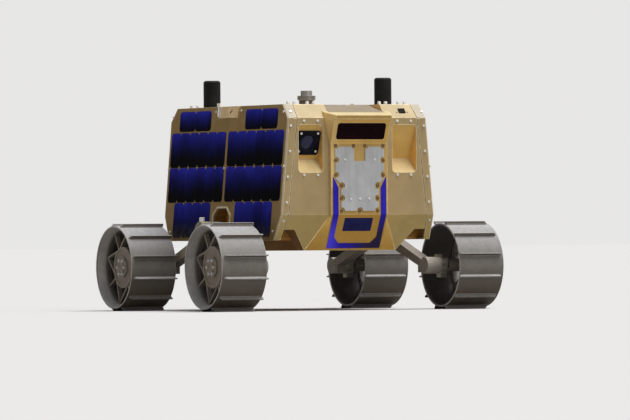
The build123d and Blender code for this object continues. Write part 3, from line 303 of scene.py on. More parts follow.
class Finish:
    """A material being made, with its shader and the coordinates of the piece."""

    def __init__(self, name, roughness, metallic, level):
        self.material = bpy.data.materials.new(name)
        self.material.use_nodes = True
        self.tree = self.material.node_tree
        self.shader = self.tree.nodes["Principled BSDF"]
        self.shader.inputs["Roughness"].default_value = roughness
        self.shader.inputs["Metallic"].default_value = metallic
        self.shader.inputs["Specular IOR Level"].default_value = level
        self.place = self.node("ShaderNodeTexCoord").outputs["Object"]

    def node(self, kind, **settings):
        """A new node with its settings."""
        made = self.tree.nodes.new(kind)
        for name, value in settings.items():
            setattr(made, name, value)
        return made

    def feed(self, socket, value):
        """Link a socket to another's output, or set it to a number or a colour."""
        if isinstance(value, bpy.types.NodeSocket):
            self.tree.links.new(value, socket)
        elif hasattr(socket.default_value, "__len__") and len(value) == 3:
            socket.default_value = tuple(value) + (1.0,)
        else:
            socket.default_value = value

    def noise(self, size, detail=3.0, roughness=0.55, stretch=(1, 1, 1), distortion=0.0):
        """Noise from 0 to 1 whose blotches are about this many millimetres wide."""
        mapping = self.node("ShaderNodeMapping")
        mapping.inputs["Scale"].default_value = [1000.0 / size * part for part in stretch]
        self.feed(mapping.inputs["Vector"], self.place)
        made = self.node("ShaderNodeTexNoise")
        made.inputs["Scale"].default_value = 1.0
        made.inputs["Detail"].default_value = detail
        made.inputs["Roughness"].default_value = roughness
        made.inputs["Distortion"].default_value = distortion
        self.feed(made.inputs["Vector"], mapping.outputs["Vector"])
        return made.outputs["Fac"]

    def scratches(self, size, stretch):
        """Fine scratches: a stretched noise cut to thin lines."""
        field = self.noise(size, detail=5.0, roughness=0.7, stretch=stretch, distortion=0.6)
        return self.span(field, 0.62, 0.70)

    def span(self, value, low, high, out_low=0.0, out_high=1.0):
        """Spread part of a value's range over another range, without running past it."""
        made = self.node("ShaderNodeMapRange")
        made.clamp = True
        self.feed(made.inputs["Value"], value)
        made.inputs["From Min"].default_value = low
        made.inputs["From Max"].default_value = high
        made.inputs["To Min"].default_value = out_low
        made.inputs["To Max"].default_value = out_high
        return made.outputs["Result"]

    def sum(self, operation, first, second=0.0):
        """One step of arithmetic."""
        made = self.node("ShaderNodeMath", operation=operation)
        self.feed(made.inputs[0], first)
        self.feed(made.inputs[1], second)
        return made.outputs["Value"]

    def blend(self, share, first, second):
        """Blend two colours by a share."""
        made = self.node("ShaderNodeMix", data_type="RGBA")
        self.feed(made.inputs["Factor"], share)
        self.feed(made.inputs[6], first)
        self.feed(made.inputs[7], second)
        return made.outputs[2]

    def mottle(self, field, shade, colour, low=0.35, high=0.68):
        """Blotches of two colours, from the shade to the colour as a noise rises."""
        return self.blend(self.span(field, low, high), shade, colour)

    def lay_patches(self, tone, patches, field, low, high, shade):
        """Lay each patch's paint over a tone where its mask says, a little uneven."""
        for mask, paint in patches:
            uneven = self.mottle(field, scaled(paint, shade), paint, low, high)
            tone = self.blend(mask(self), tone, uneven)
        return tone

    def along(self, axis):
        """The piece's own coordinate along x, y or z, in metres."""
        made = self.node("ShaderNodeSeparateXYZ")
        self.feed(made.inputs[0], self.place)
        return made.outputs[axis]

    def facing(self, axis, low, high, both_ways=False):
        """How far the surface looks along the piece's own axis, from 0 at low to 1 at high."""
        normal = self.node("ShaderNodeTexCoord").outputs["Normal"]
        made = self.node("ShaderNodeSeparateXYZ")
        self.feed(made.inputs[0], normal)
        share = made.outputs[axis]
        if both_ways:
            share = self.sum("ABSOLUTE", share)
        return self.span(share, low, high)

    def facing_up(self, low, high):
        """1 on faces that look up, 0 on the others; limits that fall turn it round."""
        return self.facing("Z", low, high)

    def from_middle(self):
        """The distance from the middle plane, in metres."""
        return self.sum("ABSOLUTE", self.along("X"))

    def from_axle(self):
        """The distance from the nearest wheel's axle, in metres."""
        along = self.sum("SUBTRACT", self.sum("ABSOLUTE", self.along("Y")), WHEEL_Y * MM)
        above = self.sum("SUBTRACT", self.along("Z"), AXLE_Z * MM)
        squares = self.sum("ADD", self.product(along, along), self.product(above, above))
        return self.sum("SQRT", squares)

    def product(self, *values):
        """Several shares multiplied together."""
        result = values[0]
        for value in values[1:]:
            result = self.sum("MULTIPLY", result, value)
        return result

    def within(self, value, low, high):
        """1 where a length lies between two limits in millimetres."""
        above = self.span(value, (low - MASK_BLUR) * MM, (low + MASK_BLUR) * MM)
        below = self.span(value, (high + MASK_BLUR) * MM, (high - MASK_BLUR) * MM)
        return self.product(above, below)

    def zone(self, x=None, y=None, z=None):
        """1 inside a box in millimetres, where x counts from the middle to both sides."""
        shares = []
        if x:
            shares.append(self.within(self.from_middle(), *x))
        if y:
            shares.append(self.within(self.along("Y"), *y))
        if z:
            shares.append(self.within(self.along("Z"), *z))
        return self.product(*shares)

    def edges(self, width):
        """1 along the edges of the solid, 0 away from them."""
        soft = self.node("ShaderNodeBevel", samples=4)
        soft.inputs["Radius"].default_value = width
        true = self.node("ShaderNodeNewGeometry").outputs["Normal"]
        made = self.node("ShaderNodeVectorMath", operation="DOT_PRODUCT")
        self.feed(made.inputs[0], soft.outputs["Normal"])
        self.feed(made.inputs[1], true)
        return self.span(made.outputs["Value"], 0.995, 0.93)

    def colour(self, value):
        """Set the base colour."""
        self.feed(self.shader.inputs["Base Color"], value)

    def rough(self, value):
        """Set the roughness."""
        self.feed(self.shader.inputs["Roughness"], value)

    def shine(self, value):
        """Set how much of the surface is bare metal."""
        self.feed(self.shader.inputs["Metallic"], value)

    def bump(self, height, depth, strength):
        """Raise the surface by a pattern, to a depth in millimetres."""
        made = self.node("ShaderNodeBump")
        made.inputs["Strength"].default_value = strength
        made.inputs["Distance"].default_value = depth * MM
        self.feed(made.inputs["Height"], height)
        self.feed(self.shader.inputs["Normal"], made.outputs["Normal"])


def scaled(colour, factor):
    """A colour made lighter or darker."""
    return tuple(min(1.0, part * factor) for part in colour)


# Masks: where a paint, often painted light or shade, or a polish lies, from 0 to 1, with their places in
# millimetres


def nothing(made):
    """Nowhere."""
    return 0.0


def looking_up(made):
    """Faces that look up, where the patches lay a painted highlight."""
    return made.product(made.facing_up(0.25, 0.62), 0.85)


def looking_down(made):
    """Faces that lean towards the ground, where a painted bounce light from below lies."""
    return made.facing_up(-0.20, -0.45)


def looking_aside(made):
    """Faces that look along the axles."""
    return made.facing("X", 0.75, 0.90, both_ways=True)


def corner_facets(made):
    """The narrow facets at the corners between the front and the sides."""
    return made.product(made.facing("X", 0.25, 0.40, both_ways=True),
                        made.facing("Y", 0.25, 0.40, both_ways=True))


def niche_walls(made):
    """The walls and the ceiling of the two front niches."""
    return made.product(made.zone(NICHE_ACROSS, NICHE_DEEP, (268.0, 364.0)),
                        made.facing_up(0.80, 0.50))


def niche_sides(made):
    """The two upright side walls of each front niche."""
    return made.product(niche_walls(made), made.facing("X", 0.60, 0.85, both_ways=True))


def niche_floors(made):
    """The floors of the two front niches."""
    return made.product(made.zone(NICHE_ACROSS, NICHE_DEEP, (268.0, 320.0)),
                        made.facing_up(0.50, 0.80))


def arch_rims(made):
    """Where a rim stands proud of a leaning side."""
    lean = made.product(made.sum("SUBTRACT", ROOF_Z * MM, made.along("Z")), SIDE_LEAN)
    plane = made.sum("ADD", lean, ROOF_HALF_WIDTH * MM)
    proud = made.sum("SUBTRACT", made.from_middle(), plane)
    return made.within(proud, 0.5, 20.0)


def arch_inside(made):
    """The inner panel seen through the pivot's arches."""
    return made.product(looking_aside(made), made.zone(y=(-30.0, 30.0), z=(145.0, 215.0)))


def brow_strips(made):
    """The paler outer strips of the brow."""
    return made.product(made.zone(x=(131.5, 160.0), y=(-262.0, -232.0)), made.facing_up(0.25, 0.62))


def ramp_cheeks(made):
    """The upright cheeks beside the ramp."""
    return made.product(made.zone((50.0, 80.0), (-265.0, -180.0), (376.0, 403.5)),
                        made.facing("X", 0.40, 0.80, both_ways=True))


def cheek_sheen(made):
    """The polish of the ramp's cheeks."""
    return made.product(ramp_cheeks(made), 0.30)


def chin_cuts(made):
    """The inward walls of the cuts in the pillars' lower ends."""
    return made.product(made.zone((60.0, 158.0), (-259.0, -190.0), (112.0, 166.0)),
                        made.facing("X", 0.45, 0.75, both_ways=True))


def belly_shade(made):
    """Painted shade on the lower part of the inner panels."""
    return made.zone(z=(100.0, 139.0))


def visor_wings(made):
    """The fascia's narrow faces that turn outwards."""
    return made.facing("X", 0.20, 0.60, both_ways=True)


def visor_ends(made):
    """The visor's slanted ends, above the window."""
    return made.product(visor_wings(made), made.zone(z=(372.0, 384.0)))


def side_sheen(made):
    """The polish of the fascia's side walls."""
    return made.product(visor_wings(made), 0.32)


def window_zone(made):
    """The fascia's part under the visor, round the sensor window."""
    return made.zone(z=(325.0, 372.0))


def visor_front(made):
    """The visor's narrow front face."""
    return made.product(made.zone(z=(372.5, 381.0)), made.facing("Y", -0.8, -0.95))


def fascia_chin(made):
    """The fascia's lower part, with its wings."""
    return made.zone(z=(100.0, 187.0))


def fascia_left_highlight(made):
    """Painted highlight on the fascia's edge that takes the light from the side."""
    side = made.span(made.along("X"), -40.0 * MM, -58.0 * MM)
    return made.product(side, made.facing("Y", -0.8, -0.95), made.zone(z=(240.0, 372.0)), 0.6)


def near_axle(made, radius, low=0.0):
    """Within a distance of the nearest wheel's axle."""
    return made.within(made.from_axle(), low, radius)


def drum_mouth(made):
    """The inner face of a wheel's drum outside the spokes."""
    outboard = made.span(made.from_middle(), 286.0 * MM, 296.0 * MM)
    return made.product(outboard, near_axle(made, 80.9))


def drum_bottom(made):
    """The lower half of a drum's outer mouth: dusty, with a painted pool of light."""
    return made.product(drum_mouth(made), made.facing_up(-0.30, 0.70))


def drum_inside(made):
    """The inner face of a wheel's drum behind the spokes."""
    inboard = made.span(made.from_middle(), 290.0 * MM, 280.0 * MM)
    return made.product(inboard, near_axle(made, 80.9))


def drum_rim(made):
    """The rims of a wheel's drum."""
    return made.product(looking_aside(made), near_axle(made, 83.0, 77.0))


def mouth_sheen(made):
    """The polish of the drums' outer lips."""
    return made.product(drum_mouth(made), 0.40)


def drive_housing(made):
    """The motor housings and clamps round the axles."""
    return near_axle(made, 17.5)


def arm_outer(made):
    """The arms' faces that look away from the body."""
    outboard = made.span(made.from_middle(), 196.0 * MM, 197.5 * MM)
    return made.product(looking_aside(made), outboard)


def pivot_hub(made):
    """The rocker's hub round its pivot, outside the arm."""
    return made.zone(x=(198.2, 230.0), y=(-30.0, 30.0))


def standoff(made):
    """The bracket's bright standoff."""
    return made.zone(y=(38.0, 60.0))


def connector_base(made):
    """The connector's dark foot."""
    return made.zone(z=(400.0, 414.6))


def connector_flange(made):
    """The connector's darker flange."""
    return made.zone(z=(414.8, 423.6))


def anodised_sheet(name, colour, shade, wear_and_highlight, metallic, roughness, edge,
                   level=0.06, patches=(), polished=nothing):
    """Bead-blasted, anodised sheet: soft blotches, fine grain, handling marks, rubbed edges painted
    paler also as edge highlights.
    """
    made = Finish(name, roughness, metallic, level)
    blotch = made.noise(38.0, detail=4.0, distortion=0.4)
    grain = made.noise(0.9, detail=2.0)
    mark = made.scratches(26.0, (1.0, 0.35, 2.4))
    tone = made.mottle(blotch, shade, colour)
    tone = made.blend(made.span(grain, 0.30, 0.75, 0.0, 0.16), tone, scaled(colour, 1.35))
    tone = made.blend(made.product(mark, 0.10), tone, scaled(colour, 1.5))
    tone = made.lay_patches(tone, patches, blotch, 0.35, 0.68, 0.86)
    # rubbed edges: real wear on bare metal, painted paler also as edge highlights
    rim = made.product(made.edges(edge), made.span(made.noise(9.0), 0.30, 0.60, 0.35, 0.95),
                       made.span(made.facing_up(0.20, 0.60), 0.0, 1.0, 1.0, 0.35))
    made.colour(made.blend(rim, tone, wear_and_highlight))
    bare = made.sum("MAXIMUM", made.product(rim, 0.70), polished(made))
    made.shine(made.sum("MAXIMUM", bare, metallic))
    uneven = made.span(blotch, 0.30, 0.70, roughness + 0.07, roughness - 0.06)
    made.rough(made.sum("SUBTRACT", uneven, made.product(rim, 0.12)))
    made.bump(made.sum("ADD", grain, made.product(blotch, 0.6)), 0.05, 0.5)
    return made.material


def dusty_metal(name, colour, dust, dirt, wear_and_highlight, roughness, metallic, edge,
                patches=(), polished=nothing):
    """Blasted metal: dusty, with a painted highlight, where it looks up; soiled, with painted shade,
    where it looks down; patches; rubbed edges, painted paler also as edge highlights.
    """
    made = Finish(name, roughness, metallic, 0.12)
    blotch = made.noise(17.0, detail=5.0, roughness=0.62, distortion=0.8)
    grain = made.noise(1.3, detail=3.0)
    tone = made.mottle(blotch, scaled(colour, 0.84), scaled(colour, 1.12), 0.34, 0.70)
    tone = made.blend(made.span(grain, 0.35, 0.72, 0.0, 0.25), tone, scaled(colour, 1.4))
    fallen = made.span(made.noise(7.0, detail=5.0, roughness=0.7), 0.30, 0.66, 0.55, 1.0)
    # dusty tops, painted lighter also as a highlight from above
    dusty_lit_tops = made.product(made.facing_up(0.12, 0.95), fallen)
    tone = made.blend(dusty_lit_tops, tone, dust)
    splashed = made.span(blotch, 0.30, 0.60, 0.65, 1.0)
    # soiled undersides, painted darker also as shade underneath
    soiled_shaded_undersides = made.product(made.facing_up(0.0, -0.65), splashed)
    tone = made.blend(soiled_shaded_undersides, tone, dirt)
    tone = made.lay_patches(tone, patches, blotch, 0.34, 0.70, 0.80)
    # rubbed edges, painted paler also as edge highlights
    rim = made.product(made.edges(edge), made.span(made.noise(6.0), 0.30, 0.60, 0.25, 0.90))
    made.colour(made.blend(rim, tone, wear_and_highlight))
    bare = made.sum("MAXIMUM", made.product(rim, 0.45), polished(made))
    made.shine(made.sum("MAXIMUM", bare, metallic))
    made.rough(made.span(dusty_lit_tops, 0.0, 0.8, roughness, 0.90))
    made.bump(made.sum("ADD", grain, blotch), 0.10, 0.55)
    return made.material


def plated_screw(name, colour, roughness):
    """Stained, plated steel, made once and found again by its name."""
    found = bpy.data.materials.get(name)
    if found:
        return found
    made = Finish(name, roughness, 0.35, 0.5)
    stain = made.noise(2.2, detail=4.0)
    tone = made.mottle(stain, scaled(colour, 0.68), colour, 0.36, 0.66)
    rim = made.edges(0.25 * MM)
    made.colour(made.blend(made.product(rim, 0.5), tone, scaled(colour, 1.25)))
    made.rough(made.span(stain, 0.3, 0.7, roughness + 0.14, roughness))
    made.bump(made.noise(0.35, detail=2.0), 0.02, 0.4)
    return made.material


def screw_finish():
    """The bright screws' material."""
    return plated_screw("plated screw", bpy.context.scene.rover_colours.screws, 0.32)


def gold_screw_finish():
    """The darker gold screws' material."""
    return plated_screw("gold plated screw", (0.20, 0.115, 0.042), 0.44)


def cover(nodes, finish):
    """Put a material into the only slot of each of these CAD nodes."""
    for name in nodes:
        shape = frame["nodes"][name]
        if not shape.material_slots:
            shape.data.materials.append(finish)
        for slot in shape.material_slots:
            slot.link = "OBJECT"
            slot.material = finish


def nodes_of(*slots):
    """The CAD nodes whose record slot is one of these."""
    names = [row["node"] for row in frame["record"]["subparts"] if row["material_slot"] in slots]
    if not names:
        raise RuntimeError(f"no node has a slot among {slots}")
    return names


class ROVER_OT_gold_panels(bpy.types.Operator):
    """Finish the body's sheets and covers, the ramp, the inner panels and the brackets"""

    bl_idname = "rover.gold_panels"
    bl_label = "Gold panels"

    def execute(self, context):
        colours = context.scene.rover_colours
        edge = context.scene.rover_sizes.edge_wear_and_highlight
        gold = tuple(colours.gold_panel)
        sheen = tuple(colours.gold_top_highlight)
        amber = tuple(colours.amber)
        wear_and_highlight = (0.96, 0.88, 0.68)
        patches = (
            # painted highlight on faces that look up
            (looking_up, sheen),
            # painted shade on faces that look along the axles
            (looking_aside, (0.44, 0.285, 0.110)),
            # painted bounce light on faces that lean towards the ground
            (looking_down, (0.57, 0.42, 0.17)),
            # painted highlight on the corner facets
            (corner_facets, (0.62, 0.51, 0.36)),
            # painted warm bounce light on the niches' walls and ceilings
            (niche_walls, tuple(colours.niche)),
            # brighter painted light on the niches' shaded side walls
            (niche_sides, (0.95, 0.62, 0.20)),
            # painted light on the niche floors, against the shade of the niche
            (niche_floors, (0.66, 0.51, 0.26)),
            # painted highlight on the arch rims
            (arch_rims, (0.90, 0.82, 0.66)),
            # painted highlight, paler and greyer, on the brow strips' upward faces
            (brow_strips, (0.54, 0.48, 0.38)),
            # painted light on the ramp's shaded cheeks
            (ramp_cheeks, (0.90, 0.56, 0.19)),
            # painted shade in the cuts of the pillars' lower ends
            (chin_cuts, (0.31, 0.16, 0.062)),
        )
        finish = anodised_sheet(
            "gold sheet", gold, scaled(gold, 0.86), wear_and_highlight, 0.0, 0.52, edge,
            patches=patches, polished=cheek_sheen)
        cover(nodes_of("gold_panel"), finish)
        ramp = tuple(colours.ramp)
        finish = anodised_sheet(
            "grey gold ramp", ramp, scaled(ramp, 0.90), scaled(ramp, 1.9), 0.0, 0.60, edge, level=0.05)
        cover(["roof_ramp"], finish)
        inner = anodised_sheet(
            "amber inner panel", amber, scaled(amber, 0.80), scaled(amber, 1.8), 0.0, 0.55, edge,
            # painted shade on the inner panels' lower part
            patches=((belly_shade, (0.44, 0.24, 0.085)), (arch_inside, (0.85, 0.43, 0.085))))
        cover(nodes_of("inner_panel"), inner)
        bracket = anodised_sheet(
            "machined gold", (0.72, 0.52, 0.25), (0.56, 0.39, 0.17), (0.95, 0.88, 0.72),
            0.30, 0.40, edge * 0.6, level=0.3, patches=((standoff, (0.92, 0.88, 0.80)),))
        cover(nodes_of("bracket_gold"), bracket)
        return {"FINISHED"}


class ROVER_OT_gold_fascia(bpy.types.Operator):
    """Finish the fascia and the visor in richer satin gold"""

    bl_idname = "rover.gold_fascia"
    bl_label = "Gold fascia"

    def execute(self, context):
        gold = tuple(context.scene.rover_colours.gold_fascia)
        edge = context.scene.rover_sizes.edge_wear_and_highlight
        finish = anodised_sheet(
            "satin gold fascia", gold, scaled(gold, 0.88), (0.95, 0.80, 0.50), 0.0, 0.45, edge,
            patches=(
                # painted light against the visor's shadow round the window
                (window_zone, (0.80, 0.50, 0.145)),
                (visor_front, (0.44, 0.28, 0.085)),
                (fascia_chin, (0.60, 0.34, 0.075)),
                # painted highlight on the fascia's left edge
                (fascia_left_highlight, (0.98, 0.70, 0.30)),
                # painted highlight on the fascia's narrow faces that turn outwards
                (visor_wings, (0.84, 0.52, 0.15)),
                # brighter painted highlight on the visor's slanted ends
                (visor_ends, (1.0, 0.86, 0.50)),
                # painted highlight on the fascia's faces that look aside
                (looking_aside, (0.95, 0.68, 0.29)),
                # painted highlight on the fascia's faces that look up
                (looking_up, (0.64, 0.53, 0.31)),
            ), polished=side_sheen)
        cover(nodes_of("gold_bright"), finish)
        return {"FINISHED"}


class ROVER_OT_solar_cells(bpy.types.Operator):
    """Finish the solar cells: blue under cover glass, with a painted reflection fading darker downwards
    in each row
    """

    bl_idname = "rover.solar_cells"
    bl_label = "Solar cells"

    def execute(self, context):
        colours = context.scene.rover_colours
        made = Finish("solar cell", 0.24, 0.0, 0.003)
        height = made.along("Z")
        along = made.sum("ABSOLUTE", made.along("Y"))
        # each row fades from its own top edge: a painted reflection, bright at the top of the row and
        # dark below
        down = made.sum("DIVIDE", made.sum("SUBTRACT", CELL_TOP * MM, height), CELL_ROW * MM)
        row = made.sum("FLOOR", down)
        share = made.sum("FRACT", down)
        top_down = made.sum("SUBTRACT", TOP_ROW_TOP * MM, height)
        top_share = made.sum("DIVIDE", top_down, TOP_ROW_TALL * MM)
        in_top_row = made.within(height, *TOP_ROW)
        share = made.sum("ADD", made.product(share, made.sum("SUBTRACT", 1.0, in_top_row)),
                         made.product(top_share, in_top_row))
        # the lowest row's painted reflection fades less
        lowest = made.within(height, *LOWEST_ROW)
        share = made.product(share, made.sum("SUBTRACT", 1.0, made.product(lowest, 0.32)))
        # each cell is a little lighter or darker than its neighbours
        start = made.sum("ADD", CELL_START * MM, made.product(lowest, LOWEST_START * MM))
        past_start = made.sum("SUBTRACT", along, start)
        column = made.sum("FLOOR", made.sum("DIVIDE", past_start, CELL_COLUMN * MM))
        side = made.product(made.sum("SIGN", made.along("Y")), 11.0)
        number = made.sum("ADD", made.sum("ADD", column, side), made.product(row, 37.0))
        chance = made.node("ShaderNodeTexWhiteNoise", noise_dimensions="1D")
        made.feed(chance.inputs["W"], number)
        own = made.span(chance.outputs["Value"], 0.0, 1.0, -0.07, 0.07)
        streak = made.noise(9.0, detail=3.0, stretch=(1, 1, 0.12))
        cloud = made.noise(60.0, detail=2.0)
        reach = made.sum("ADD", made.span(streak, 0.3, 0.7, -0.06, 0.06),
                         made.span(cloud, 0.3, 0.7, -0.08, 0.08))
        reach = made.sum("ADD", reach, own)
        light = made.span(made.sum("ADD", share, reach), -0.03, 0.86, 1.0, 0.0)
        light = made.sum("POWER", light, 2.2)
        tone = made.blend(light, tuple(colours.cell_dark), tuple(colours.cell_blue))
        # fine silver lines, then a dusty grey on the lowest cells
        finger = made.sum("FRACT", made.sum("DIVIDE", made.along("Y"), FINGER_PITCH * MM))
        finger = made.span(finger, 0.07, 0.06)
        tone = made.blend(made.product(finger, 0.03), tone, (0.16, 0.17, 0.40))
        dusty = made.product(made.span(height, 178.0 * MM, 146.0 * MM),
                             made.span(made.noise(16.0, detail=4.0), 0.35, 0.65, 0.3, 1.0))
        tone = made.blend(made.product(dusty, 0.55), tone, (0.15, 0.14, 0.15))
        rim = made.edges(0.7 * MM)
        made.colour(made.blend(made.product(rim, 0.25), tone, (0.16, 0.14, 0.20)))
        made.rough(made.span(streak, 0.3, 0.7, 0.20, 0.32))
        made.bump(made.sum("ADD", made.noise(60.0, detail=1.0), made.product(finger, 0.05)),
                  0.4, 0.35)
        cover(nodes_of("solar_cell"), made.material)
        return {"FINISHED"}


class ROVER_OT_glass(bpy.types.Operator):
    """Finish the sensor window and the camera's lens as dark coated glass, with painted reflections on
    the window
    """

    bl_idname = "rover.glass"
    bl_label = "Window and lens"

    def execute(self, context):
        colours = context.scene.rover_colours
        window = Finish("dark window glass", 0.12, 0.0, 0.03)
        haze = window.noise(24.0, detail=4.0, stretch=(0.6, 1, 2.2))
        # painted red reflections in the window's haze, then small painted bright spots of reflected
        # light
        red_reflection = window.span(haze, 0.55, 0.75, 0.0, 0.7)
        tone = window.blend(red_reflection, tuple(colours.window), (0.024, 0.002, 0.004))
        painted_glints = window.span(window.noise(7.0, detail=1.0, stretch=(1, 1, 1.6)), 0.70, 0.80, 0.0, 0.8)
        window.colour(window.blend(painted_glints, tone, (0.060, 0.035, 0.075)))
        window.rough(window.span(haze, 0.3, 0.7, 0.08, 0.20))
        window.bump(window.noise(45.0, detail=1.0), 0.15, 0.25)
        cover(nodes_of("dark_glass"), window.material)
        lens = Finish("coated lens", 0.05, 0.0, 0.25)
        ring = lens.noise(5.0, detail=2.0)
        lens.colour(lens.blend(lens.span(ring, 0.35, 0.7), (0.006, 0.008, 0.034), (0.014, 0.018, 0.085)))
        lens.rough(lens.span(ring, 0.3, 0.7, 0.03, 0.08))
        lens.bump(lens.noise(8.0, detail=1.0), 0.03, 0.2)
        lens.shader.inputs["Coat Weight"].default_value = 0.12
        lens.shader.inputs["Coat Roughness"].default_value = 0.04
        lens.shader.inputs["Coat Tint"].default_value = (0.75, 0.80, 1.0, 1.0)
        cover(nodes_of("lens_glass"), lens.material)
        return {"FINISHED"}


class ROVER_OT_plate_and_band(bpy.types.Operator):
    """Finish the blank service plate and the blue band"""

    bl_idname = "rover.plate_and_band"
    bl_label = "Service plate and band"

    def execute(self, context):
        colours = context.scene.rover_colours
        plate = Finish("brushed plate", 0.38, 0.10, 0.2)
        brush = plate.noise(4.0, detail=6.0, roughness=0.75, stretch=(1, 1, 0.05))
        cloud = plate.noise(34.0, detail=4.0)
        tone = plate.mottle(cloud, scaled(colours.plate, 0.86), scaled(colours.plate, 1.10))
        tone = plate.blend(plate.span(brush, 0.40, 0.66, 0.0, 0.30), tone, scaled(colours.plate, 1.4))
        rim = plate.edges(0.8 * MM)
        plate.colour(plate.blend(plate.product(rim, 0.7), tone, (0.80, 0.79, 0.76)))
        plate.rough(plate.span(brush, 0.35, 0.70, 0.44, 0.28))
        plate.bump(brush, 0.03, 0.5)
        cover(nodes_of("plate_grey"), plate.material)
        band = Finish("gloss blue band", 0.18, 0.0, 0.08)
        ripple = band.noise(28.0, detail=3.0)
        tone = band.mottle(ripple, scaled(colours.band, 0.86), scaled(colours.band, 1.22), 0.34)
        # the lower end has painted shade on one side and a painted bright spot of reflected light on the
        # other
        across = band.along("X")
        low = band.span(band.along("Z"), 185.0 * MM, 150.0 * MM)
        dark = band.product(band.span(across, -20.0 * MM, 30.0 * MM), low)
        tone = band.blend(band.product(dark, 0.92), tone, (0.024, 0.016, 0.030))
        painted_glint = band.product(band.span(across, -30.0 * MM, -52.0 * MM), low)
        tone = band.blend(band.product(painted_glint, 0.95), tone, (0.095, 0.075, 1.0))
        # paler edges: a painted highlight along the band's edges
        rim = band.edges(0.5 * MM)
        band.colour(band.blend(band.product(rim, 0.4), tone, (0.16, 0.15, 0.50)))
        band.rough(band.span(ripple, 0.3, 0.7, 0.26, 0.14))
        band.bump(band.noise(1.6, detail=2.0), 0.02, 0.4)
        cover(nodes_of("band_blue"), band.material)
        return {"FINISHED"}


class ROVER_OT_black_parts(bpy.types.Operator):
    """Finish the camera housing, the port and the two antennas in black"""

    bl_idname = "rover.black_parts"
    bl_label = "Camera, port and antennas"

    def execute(self, context):
        black = Finish("satin black", 0.46, 0.0, 0.03)
        grain = black.noise(1.0, detail=2.0)
        cloud = black.noise(14.0, detail=3.0)
        tone = black.mottle(cloud, (0.006, 0.006, 0.010), (0.012, 0.011, 0.018))
        socket = black.zone(z=(376.0, 404.0))
        tone = black.blend(socket, tone, (0.0055, 0.0042, 0.0020))
        rim = black.product(black.edges(0.5 * MM), 0.55, black.sum("SUBTRACT", 1.0, socket))
        black.colour(black.blend(rim, tone, (0.16, 0.16, 0.17)))
        black.rough(black.span(cloud, 0.3, 0.7, 0.52, 0.40))
        black.bump(grain, 0.03, 0.5)
        cover(nodes_of("black_anodised"), black.material)
        matte = Finish("matte black radome", 0.62, 0.0, 0.08)
        stipple = matte.noise(0.8, detail=2.0)
        cloud = matte.noise(20.0, detail=4.0)
        tone = matte.mottle(cloud, (0.010, 0.010, 0.010), (0.017, 0.017, 0.017))
        dusted = matte.product(matte.facing_up(0.25, 0.95), 0.10)
        matte.colour(matte.blend(dusted, tone, (0.10, 0.095, 0.09)))
        matte.rough(matte.span(stipple, 0.3, 0.7, 0.70, 0.56))
        matte.bump(stipple, 0.06, 0.6)
        cover(nodes_of("antenna_black"), matte.material)
        return {"FINISHED"}


class ROVER_OT_running_gear(bpy.types.Operator):
    """Finish the arms, drives, shafts and wheels, dusty from driving and with painted light and shade,
    and the connector
    """

    bl_idname = "rover.running_gear"
    bl_label = "Arms, drives, wheels and connector"

    def execute(self, context):
        colours = context.scene.rover_colours
        dust = tuple(colours.dust)
        dirt = tuple(colours.dirt)
        metal = tuple(colours.arms)
        arms = dusty_metal(
            "blasted arm metal", metal, (0.225, 0.200, 0.170), scaled(metal, 0.72),
            (0.50, 0.46, 0.40), 0.50, 0.0, 1.1 * MM, (
                # painted bounce light on the arms' faces that look aside
                (looking_aside, (0.36, 0.315, 0.25)),
                # painted bounce light on the arms' outer faces
                (arm_outer, (0.58, 0.50, 0.37)),
                (drive_housing, (0.40, 0.36, 0.31)),
                # khaki pivot hub, painted lighter also as a reflection
                (pivot_hub, (0.42, 0.39, 0.24)),
            ))
        cover(nodes_of("arm_grey"), arms)
        steel = dusty_metal(
            "dark turned steel", (0.085, 0.072, 0.062), (0.13, 0.115, 0.10), (0.06, 0.05, 0.042),
            (0.30, 0.27, 0.24), 0.40, 0.10, 0.7 * MM)
        cover(nodes_of("steel_dark"), steel)
        wheels = dusty_metal(
            "dusty wheel coat", tuple(colours.wheels), dust, dirt, (0.55, 0.53, 0.51), 0.62, 0.0,
            1.3 * MM, (
                # painted light on the drum's outer mouth, which the drum itself shades
                (drum_mouth, (0.42, 0.39, 0.36)),
                # dusty lower half of the mouth, with a painted pool of light too
                (drum_bottom, (0.52, 0.51, 0.50)),
                # painted shade inside the drum behind the spokes
                (drum_inside, (0.11, 0.10, 0.09)),
                # painted highlight on the drum's rims
                (drum_rim, (0.60, 0.58, 0.56)),
            ), mouth_sheen)
        cover(["wheel_drum_" + corner for corner in CORNERS], wheels)
        hubs = dusty_metal(
            "dusty wheel hub", (0.32, 0.265, 0.215), (0.30, 0.28, 0.26), (0.16, 0.135, 0.115),
            (0.60, 0.56, 0.51), 0.55, 0.0, 1.1 * MM)
        cover(["wheel_hub_" + corner for corner in CORNERS], hubs)
        silver = anodised_sheet(
            "turned silver", (0.34, 0.33, 0.325), (0.24, 0.23, 0.22), (0.88, 0.86, 0.83),
            0.35, 0.34, 0.8 * MM, level=0.3, patches=(
                (connector_base, (0.10, 0.072, 0.055)), (connector_flange, (0.19, 0.175, 0.165))))
        cover(nodes_of("connector_silver"), silver)
        return {"FINISHED"}


